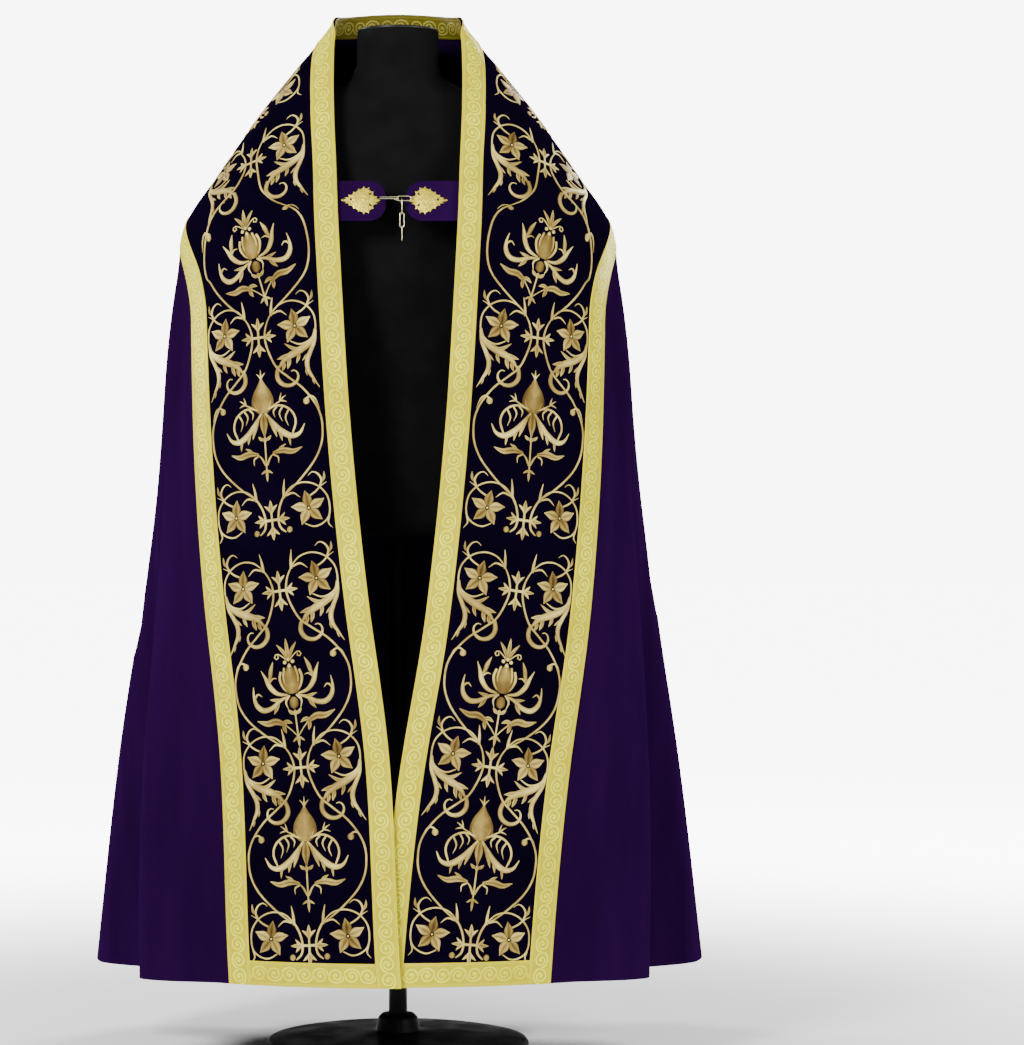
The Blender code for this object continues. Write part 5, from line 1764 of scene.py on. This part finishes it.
# %% The hood's scroll, right half: the leaves point down, to the edge
HOOD_RING = """
vine 1.8 .8 .86 36,-52 22,-26 14,0 17,26 33,48 56,58 82,55 104,39 113,14 109,-6 94,-15 68,-15 52,-7
horn 2.8 .66 .88 17,24 26,41 40,45 55,37
taper 1.7 .8 .9 92,53 93,42 86,36 76,33
leaf 4.4 .62 .84 95,49 88,64 77,79
leaf 3 .66 .86 93,52 82,59 70,60
leaf 3 .62 .84 95,52 98,64 94,77
bead 3.9 .8 .8 107,41 112,49
"""
HOOD_LEAVES = """
horn 5 .8 .74 113,8 106,-14 94,-34 92,-58 102,-76 112,-88
leaf 3.2 .62 .84 98,-26 90,-34 83,-44
leaf 3 .6 .82 93,-50 86,-59 86,-71
leaf 2.6 .6 .82 97,-66 95,-74 99,-83
horn 7.4 .8 .62 110,-4 97,-18 79,-24 60,-30 45,-40 36,-55
taper 5.2 .62 .9 39,-44 33,-61 37,-76 50,-85 64,-83 73,-74 71,-64 63,-61
bead 4.4 .84 .84 61,-63 65,-60
leaf 3.6 .68 .86 86,-20 68,-20 48,-11
leaf 4.6 .6 .84 64,-28 48,-29 29,-28
leaf 4.2 .58 .82 56,-32 58,-45 53,-57
leaf 3.6 .6 .82 75,-25 79,-38 75,-50
leaf 3.6 .56 .8 44,-39 46,-49 46,-59
"""
HOOD_CROSS_SIZE, HOOD_FLOWER_SIZE, HOOD_FLOWER_PLACE = 1.32, 1.16, (70, 12)
hood_half = merged([drawn(HOOD_RING + HOOD_LEAVES),
                    moved(FLOWER, at=HOOD_FLOWER_PLACE, turn=6, size=HOOD_FLOWER_SIZE)])
HOOD_PAIR = merged([both_sides(hood_half), moved(CROSS, size=HOOD_CROSS_SIZE)])
print("faces in a pair of the hood's scrolls:", len(HOOD_PAIR["quads"]))

# %% The middle of the hood, its ribbed bud and the whole pattern
HOOD_PATTERN_DOWN = 0.237         # from the yoke to the middle of the pattern
PAIR_PLACES = (((0, -147), 0), ((0, 147), 180), ((156, 0), 90), ((-156, 0), -90))
LILY_PLACES = (((177, 175), -45), ((-177, 175), 45), ((174, -156), -135), ((-174, -156), 135))
LILY_SIZE = 0.68
MIDDLE_SIZE = 2.35
SPRIG = """
vine 1.5 .78 .78 0,22 1,36 0,50
petal 4.6 .56 .8 0,46 0,74
leaf 3.2 .6 .84 0,44 7,52 17,56
leaf 3.2 .6 .84 0,44 -7,52 -17,56
taper 1.8 .76 .9 0,32 9,36 13,45 8,50
taper 1.8 .76 .9 0,32 -9,36 -13,45 -8,50
"""
BUD_HALF = """
leaf 2 .62 .84 1,-184 2,-210 1,-237
leaf 2 .62 .84 3,-185 9,-209 4,-236
leaf 1.9 .66 .86 5,-187 15,-208 9,-233
leaf 1.8 .7 .88 7,-189 21,-205 16,-229
taper 1.5 .7 .88 2,-183 12,-186 20,-195
"""


def hood_motif():
    sprig = drawn(SPRIG)
    parts = [moved(HOOD_PAIR, at=at, turn=turn) for at, turn in PAIR_PLACES]
    parts += [moved(LILY, at=at, turn=turn, size=LILY_SIZE) for at, turn in LILY_PLACES]
    parts += [moved(sprig, turn=turn) for turn in (45, 135, 225, 315)]
    parts += [moved(CROSS, size=MIDDLE_SIZE, shade=-0.12), moved(FLOWER, size=0.85, turn=36, shade=0.1)]
    return merged([*parts, both_sides(drawn(BUD_HALF))])


pattern = hood_motif()
across, up = pattern["plane"].T
hood_stitches = on_hood(across, HOOD_PATTERN_DOWN - up, HOOD_THICK + 0.0001 + pattern["height"])
embroidered_hood = embroider("embroidered_hood", "galloon", hood_stitches, pattern)
print(embroidered_hood.name, len(pattern["quads"]), "faces")

# %% [markdown]
# ## The clasp
#
# Two tabs of the body's cloth reach across the gap between the fronts, each folded double and stitched a
# few millimetres in. The clasp leans with the front edges, so its pieces are made flat, in a frame of
# their own, and then turned into place.

# %% The clasp's own frame
CLASP_Z = 1.279
TAB_HEIGHT, TAB_ROUND, TAB_THICK = 0.065, 0.026, 0.002
TAB_FACE = -0.0058                # the tabs' outer face, behind the middle of the front edges' wall
TAB_HIDDEN_END = 0.115
TABS = {"left": (-1, 0.018), "right": (1, 0.012)}       # side, distance of the round end from the middle


def front_edge_y(z):
    return float(smooth_curve(SECTIONS[:, 0], SECTIONS[:, 3], z))


def clasp_matrix(x=0.0, out=0.0):
    """Local x runs across, local y up the front edges, and local z out of them."""
    reach = TAB_HEIGHT / 2
    lean = math.atan((front_edge_y(CLASP_Z + reach) - front_edge_y(CLASP_Z - reach)) / TAB_HEIGHT)
    turn = Matrix.Rotation(math.pi / 2 - lean, 4, "X")
    return Matrix.Translation((x, front_edge_y(CLASP_Z), CLASP_Z)) @ turn @ Matrix.Translation((0, 0, out))


print("the clasp leans by", round(math.degrees(clasp_matrix().to_euler().x - math.pi / 2), 1), "degrees")

# %% The two tabs
TAB_ROWS, TAB_COLUMNS = 32, 48
EDGE_ROLL, STITCH_LINE = 0.0032, 0.0062


def tab_half_height(from_end):
    """Half the height of the tab at a distance from its round end."""
    inside = np.clip(TAB_ROUND - from_end, 0, TAB_ROUND)
    return TAB_HEIGHT / 2 - TAB_ROUND + np.sqrt(np.maximum(TAB_ROUND**2 - inside**2, 0))


def tab_faces(side, end):
    length = TAB_HIDDEN_END - end
    from_end = length * (1 - np.cos(np.linspace(0, math.pi / 2, TAB_COLUMNS)))[None]
    half = tab_half_height(from_end)
    y = half * np.sin(np.linspace(-math.pi / 2, math.pi / 2, TAB_ROWS))[:, None]
    to_edge = np.minimum(half - np.abs(y), from_end)
    stitched_in = 0.0003 * np.exp(-(((to_edge - STITCH_LINE) / 0.0009) ** 2))
    rolled = -0.0007 * (1 - ease(to_edge / EDGE_ROLL)) - stitched_in
    x = np.broadcast_to(side * (end + from_end), y.shape)
    grids = []
    for height in (TAB_FACE + rolled, TAB_FACE - TAB_THICK - rolled * 0.8):
        turn, place = np.array(clasp_matrix().to_3x3()), np.array(clasp_matrix().translation)
        grids.append(np.stack([x, y, height], axis=2) @ turn.T + place)
    return (*grids, np.stack([x + 0.5, y + 0.5], axis=2))


CLASP_TABS = {}
for word, (side, end) in TABS.items():
    *both_faces, tab_uv = tab_faces(side, end)
    CLASP_TABS[word] = cloth_piece(f"cloth_tab_{word}", both_faces, tab_uv, [VIOLET_CLOTH], "violet_cloth",
                                   f"clasp_tab_{word}")
    print(CLASP_TABS[word].name, "reaches to", round(side * end, 3))

# %% [markdown]
# Each tab carries a gilt brooch like a leaf, with teeth all round, a granulated face and three eyelets that
# show the cloth. A disc is scaled column by column to the leaf's outline, every fourth corner is drawn out
# to a tooth, and the face is raised in steps. Grains and eyelets come last.

# %% Brooch
BROOCH_HALF_LENGTH, BROOCH_HALF_HEIGHT = 0.0285, 0.0230
BROOCH_X = {"left": -0.0547, "right": 0.0440}
BROOCH_CORNERS = 88               # four for every tooth
TOOTH = 1.16
LEAF_OUTLINE = (                  # share of the half length, share of the half height
    (-1.00, 0.05), (-0.90, 0.15), (-0.72, 0.30), (-0.50, 0.52), (-0.25, 0.74), (0.00, 0.92), (0.18, 1.00),
    (0.38, 0.95), (0.56, 0.78), (0.70, 0.52), (0.80, 0.32), (0.90, 0.17), (1.00, 0.10),
)
FACE_STEPS = ((0.90, 0.0004), (0.92, 0.0009), (0.80, 0.0002), (0.90, 0.0005), (0.60, 0.0004))
FACE_CENTRE = 0.0040              # the face rises round this point of the brooch's length
GRAIN_RINGS = ((0.80, 32, 0.0012), (0.64, 25, 0.0014), (0.47, 18, 0.0014), (0.30, 11, 0.0014))
EYELETS = ((-0.0150, 0.0, 0.0), (0.0135, 0.0088, 0.6), (0.0135, -0.0088, -0.6))      # x, y, turn


def choose(piece, test):
    """Selects only the vertices that pass a test, in edit mode."""
    mesh = bmesh.from_edit_mesh(piece.data)
    for vertex in mesh.verts:
        vertex.select = test(vertex)
    mesh.select_flush_mode()
    bmesh.update_edit_mesh(piece.data)


def leaf_half_height(x):
    share = np.interp(x / BROOCH_HALF_LENGTH, *zip(*LEAF_OUTLINE))
    return float(share) * BROOCH_HALF_HEIGHT / TOOTH


def close_up(angle=None):
    """Leaves edit mode with all faces turned outwards."""
    bpy.ops.mesh.select_all(action="SELECT")
    bpy.ops.mesh.normals_make_consistent(inside=False)
    bpy.ops.object.mode_set(mode="OBJECT")
    if angle:
        bpy.ops.object.shade_smooth_by_angle(angle=math.radians(angle))


def add_grain(x, y, z, radius, scale):
    bpy.ops.mesh.primitive_uv_sphere_add(segments=10, ring_count=6, radius=radius, location=(x, y, z),
                                         scale=scale)


def model_brooch():
    """The left brooch, flat on the local x, y plane, its point at -x."""
    disc_radius = BROOCH_HALF_LENGTH / TOOTH
    brooch = add_disc(BROOCH_CORNERS, disc_radius)
    brooch.data.materials.append(GILT)
    brooch.data.materials.append(VIOLET_CLOTH)
    bpy.ops.object.mode_set(mode="EDIT")
    columns = sorted({round(vertex.co.x, 7) for vertex in bmesh.from_edit_mesh(brooch.data).verts})
    for x in columns[1:-1]:
        choose(brooch, lambda vertex: abs(vertex.co.x - x) < 1e-6)
        squeeze = leaf_half_height(x * TOOTH) / math.sqrt(disc_radius**2 - x**2)
        bpy.ops.transform.resize(value=(1, squeeze, 1), center_override=(0, 0, 0))
    choose(brooch, lambda vertex: vertex.index % 4 == 2)
    bpy.ops.transform.resize(value=(TOOTH, TOOTH, 1), center_override=(0, 0, 0))
    bpy.ops.mesh.select_all(action="SELECT")
    bpy.ops.mesh.extrude_region_move(TRANSFORM_OT_translate={"value": (0, 0, 0.0012)})
    for share, rise in FACE_STEPS:
        bpy.ops.mesh.extrude_region_move(TRANSFORM_OT_translate={"value": (0, 0, rise)})
        bpy.ops.transform.resize(value=(share, share, 1), center_override=(FACE_CENTRE, 0, 0))
    for share, count, radius in GRAIN_RINGS:
        for k in range(count):
            angle = 2 * math.pi * (k + 0.5 * (count % 4 == 0)) / count
            x = FACE_CENTRE * (1 - share) + share * 0.92 * BROOCH_HALF_LENGTH * math.cos(angle)
            y = share * leaf_half_height(0.92 * BROOCH_HALF_LENGTH * math.cos(angle))
            add_grain(x, math.copysign(y, math.sin(angle)), 0.0039 - 0.0016 * share, radius, (1, 1, 0.75))
    add_grain(FACE_CENTRE, 0, 0.0035, 0.0030, (1, 1, 0.45))
    add_grain(-BROOCH_HALF_LENGTH + 0.0004, 0, 0.0010, 0.0013, (1, 1, 0.8))
    for x, y, turn in EYELETS:
        add_grain(x, y, 0.0035, 0.0018, (0.75, 1.55, 0.5))
        bpy.ops.transform.rotate(value=turn, orient_axis="Z", center_override=(x, y, 0.0035))
        bpy.context.object.active_material_index = 1
        bpy.ops.object.material_slot_assign()
    close_up(35)
    while brooch.data.uv_layers:
        brooch.data.uv_layers.remove(brooch.data.uv_layers[0])
    return brooch


brooches = {"left": model_brooch()}
brooches["right"] = place_in_scene("right_brooch", brooches["left"].data.copy())
brooches["right"].data.transform(Matrix.Rotation(math.pi, 4, "Z"))
for word, brooch in brooches.items():
    brooch.name = brooch.data.name = f"gilt_brooch_{word}"
    brooch.data.transform(clasp_matrix(BROOCH_X[word], TAB_FACE + SEAM_GAP))
    dress(brooch, "brooch_gold", f"brooch_{word}")
    print(brooch.name, len(brooch.data.polygons), "faces")

# %% [markdown]
# The hook, its eye and the spare chain are bent wire, drawn as curves with a round section and turned into
# meshes. The hook is one wire doubled: it runs out from the left brooch, turns round the end of the eye, and
# comes back beside itself.

# %% Bent wire
WIRE_RADIUS = 0.0008
HOOK_RADIUS = WIRE_RADIUS * 0.85
LINK_HALF_LENGTH, LINK_HALF_WIDTH, LINK_PLAY = 0.0110, 0.0031, 0.0004
EYE_HALF_LENGTH, EYE_HALF_WIDTH, EYE_OUT = 0.0105, 0.0036, 0.0022
EYE_X = TABS["right"][1] - 0.003
EYE_END = EYE_X - EYE_HALF_LENGTH
HOOK_SPREAD = 0.0013              # half the distance between the hook's two wires


def bent_wire(name, node, matrix, points, radius, closed):
    shape = bpy.data.curves.new(name, "CURVE")
    shape.dimensions, shape.bevel_depth, shape.bevel_resolution, shape.use_fill_caps = "3D", radius, 3, True
    spline = shape.splines.new("POLY")
    spline.points.add(len(points) - 1)
    spline.use_cyclic_u = closed
    for place, point in zip(spline.points, points):
        place.co = (*(matrix @ Vector(point)), 1.0)
    wire = place_in_scene(name, shape)
    pick(wire)
    bpy.ops.object.convert(target="MESH")
    bpy.ops.object.shade_smooth()
    wire.data.name = name
    wire.data.materials.clear()
    wire.data.materials.append(PALE_METAL)
    return dress(wire, "steel", node)


def loop_points(half_length, half_width, steps=14):
    """A long round-ended loop in the x, y plane, its length along y."""
    turns = [math.pi * k / steps for k in range(steps + 1)]
    straight = half_length - half_width
    top = [(half_width * math.cos(turn), straight + half_width * math.sin(turn), 0.0) for turn in turns]
    return top + [(-x, -y, 0.0) for x, y, _ in top]


def hook_points():
    """Out along one wire, round the end of the eye, and back along the other."""
    over = EYE_OUT + 2 * WIRE_RADIUS + LINK_PLAY
    below = EYE_OUT - 2 * WIRE_RADIUS - LINK_PLAY
    reach = 2 * WIRE_RADIUS + LINK_PLAY + 0.0003
    bend = ((-3, over + 0.0001), (-1, over + 0.0004), (0, over + 0.0005), (0.8, over - 0.0006), (1, EYE_OUT),
            (0.8, below + 0.0006), (0, below - 0.0002), (-1, below))
    start = (BROOCH_X["left"] + BROOCH_HALF_LENGTH - 0.001, over)
    smooth = smooth_line([start, *((EYE_END + share * reach, z) for share, z in bend)], 5)
    out = [(x, HOOK_SPREAD, z) for x, z in smooth]
    x, z = smooth[-1]
    turns = [math.pi * (k + 1) / 8 for k in range(7)]
    round_end = [(x - HOOK_SPREAD * math.sin(turn), HOOK_SPREAD * math.cos(turn), z) for turn in turns]
    return out + round_end + [(x, -HOOK_SPREAD, z) for x, z in smooth[::-1]]


WIRES = {}
eye_loop = [(y, x, z) for x, y, z in loop_points(EYE_HALF_LENGTH, EYE_HALF_WIDTH)]
WIRES["eye"] = bent_wire("wire_eye", "clasp_eye", clasp_matrix(EYE_X, EYE_OUT), eye_loop, WIRE_RADIUS, True)
WIRES["hook"] = bent_wire("wire_hook", "clasp_hook", clasp_matrix(), hook_points(), HOOK_RADIUS, False)
hang = clasp_matrix(EYE_END + 2 * EYE_HALF_WIDTH, EYE_OUT) @ Vector((0, -EYE_HALF_WIDTH, 0))
bite = 2 * WIRE_RADIUS + LINK_PLAY
top = hang.z + bite
for k in range(3):
    turn = Matrix.Rotation(math.pi / 2 * ((k + 1) % 2), 4, "Z") @ Matrix.Rotation(math.pi / 2, 4, "X")
    place = Matrix.Translation((hang.x, hang.y, top - LINK_HALF_LENGTH)) @ turn
    WIRES[k] = bent_wire(f"wire_link_{k + 1}", f"chain_link_{k + 1}", place,
                         loop_points(LINK_HALF_LENGTH, LINK_HALF_WIDTH), WIRE_RADIUS, True)
    top -= 2 * LINK_HALF_LENGTH - bite - WIRE_RADIUS * 0.25
print("wires:", [wire.name for wire in WIRES.values()])

# %% [markdown]
# ## The dress form
#
# The form is a plain torso without arms, in black jersey. It could be sculpted, but a disc extruded upwards
# section by section gives the same smooth shape. The neck cap, the pole and the foot are discs again, and a
# bevel takes the sharpness off their edges, as paint does.

# %% A disc extruded upwards
def extruded(name, node, slot, material, sides, sections, mapped):
    """Sections go from the foot up: height, half width, half depth, and y of the middle."""
    piece = add_disc(sides, 1.0, mapped)
    bpy.ops.object.mode_set(mode="EDIT")
    bpy.ops.mesh.select_all(action="SELECT")
    place, width, depth, middle = 0.0, 1.0, 1.0, 0.0
    for k, (new_place, new_width, new_depth, new_middle) in enumerate(sections):
        if k:
            bpy.ops.mesh.extrude_region_move()
        bpy.ops.transform.translate(value=(0, 0, new_place - place))
        bpy.ops.transform.resize(value=(new_width / width, new_depth / depth, 1),
                                 center_override=(0, middle, new_place))
        bpy.ops.transform.translate(value=(0, new_middle - middle, 0))
        place, width, depth, middle = new_place, new_width, new_depth, new_middle
    close_up()
    piece.name = piece.data.name = name
    piece.data.materials.append(material)
    return dress(piece, slot, node)


print("a torso or a stand starts from", extruded.__name__)

# %% Torso: height, half width, reach to the front, reach to the back
FORM_SECTIONS = numbers("""
0.780 0.150 0.112 0.112
0.786 0.156 0.117 0.117
0.800 0.164 0.123 0.123
0.880 0.172 0.122 0.130
0.980 0.162 0.112 0.112
1.070 0.156 0.108 0.100
1.160 0.166 0.116 0.106
1.250 0.190 0.122 0.116
1.320 0.212 0.116 0.114
1.370 0.229 0.102 0.106
1.400 0.218 0.088 0.096
1.422 0.197 0.076 0.088
1.444 0.151 0.066 0.080
1.462 0.101 0.060 0.072
1.476 0.074 0.058 0.066
1.500 0.063 0.060 0.062
1.5485 0.062 0.062 0.062
""")
FORM_SIDES, FORM_LEVELS = 64, 70

heights = FORM_SECTIONS[:, 0]
levels = sorted({*np.linspace(heights[0], heights[-1], FORM_LEVELS).round(4), *heights})
width, front, back = (np.interp(levels, heights, column) for column in FORM_SECTIONS.T[1:])
torso = extruded("jersey_torso", "form_torso", "jersey", JERSEY, FORM_SIDES,
                 list(zip(levels, width, (front + back) / 2, (back - front) / 2)), True)
bpy.ops.object.shade_smooth_by_angle(angle=math.radians(60))
print(torso.name, len(torso.data.polygons), "faces")

# %% Turned parts of the stand: node, then height and radius up the middle line
STAND = {
    "form_foot": ("form_base", (0, 0.2), (0.007, 0.2), (0.012, 0.196), (0.015, 0.18), (0.0186, 0.12),
                  (0.0224, 0.06), (0.024, 0.034), (0.044, 0.03), (0.05, 0.024)),
    "form_upright": ("form_pole", (0.0503, 0.014), (0.7797, 0.014)),
    "form_cap": ("form_neck_cap", (1.5488, 0.062), (1.5516, 0.062), (1.5528, 0.0605)),
}
STAND_SIDES = 72

for name, (node, *rows) in STAND.items():
    piece = extruded(name, node, "black_metal", BLACK_PAINT, STAND_SIDES,
                     [(height, radius, radius, 0.0) for height, radius in rows], False)
    edge = piece.modifiers.new("soft_edge", "BEVEL")
    edge.width, edge.segments, edge.limit_method, edge.angle_limit = 0.0006, 2, "ANGLE", math.radians(25)
    bpy.ops.object.modifier_apply(modifier=edge.name)
    bpy.ops.object.shade_smooth_by_angle(angle=math.radians(30))
    print(name, len(piece.data.polygons), "faces")

# %% [markdown]
# ## The flat sizes
#
# The size of each sheet's cut is worked out from its grid: its longest row and its longest column.

# %% The sizes of the body's widths
def greatest_size(grid):
    """The longest row and the longest column of a grid of points."""
    return tuple(float(travelled(lines)[:, -1].max()) for lines in (grid, grid.swapaxes(0, 1)))


BODY_GRIDS = {word: faces[side][0][:, : SEAM + 1] for side, word in SIDES}
BODY_GRIDS["back"] = back_faces[0]
for word, grid in BODY_GRIDS.items():
    cut, area = greatest_size(grid), surface_area(grid)

# %% Orphreys, hood and tabs
SHARED_BRAIDS = {"left": [facing], "right": [collar, yoke, centre_back]}
for word, orphrey in ORPHREYS.items():
    cut = greatest_size(orphrey["grid"])
    surface_area(orphrey["grid"])
    BRAIDS[word] + SHARED_BRAIDS[word] + EMBROIDERY[word]
    print(orphrey["piece"].name, "cut", rounded(cut))
hood_size = greatest_size(hood_outer)[0], float(travelled(hood_outer[:, HOOD_COLUMNS // 2])[-1])
surface_area(hood_outer)
print(hood.name, "cut", rounded(hood_size), "its length taken down the middle")
for word, tab in CLASP_TABS.items():
    cut = TAB_HEIGHT, TAB_HIDDEN_END - TABS[word][1]
    print(tab.name, "cut", rounded(cut))

# %% [markdown]
# ## Last words to the frame
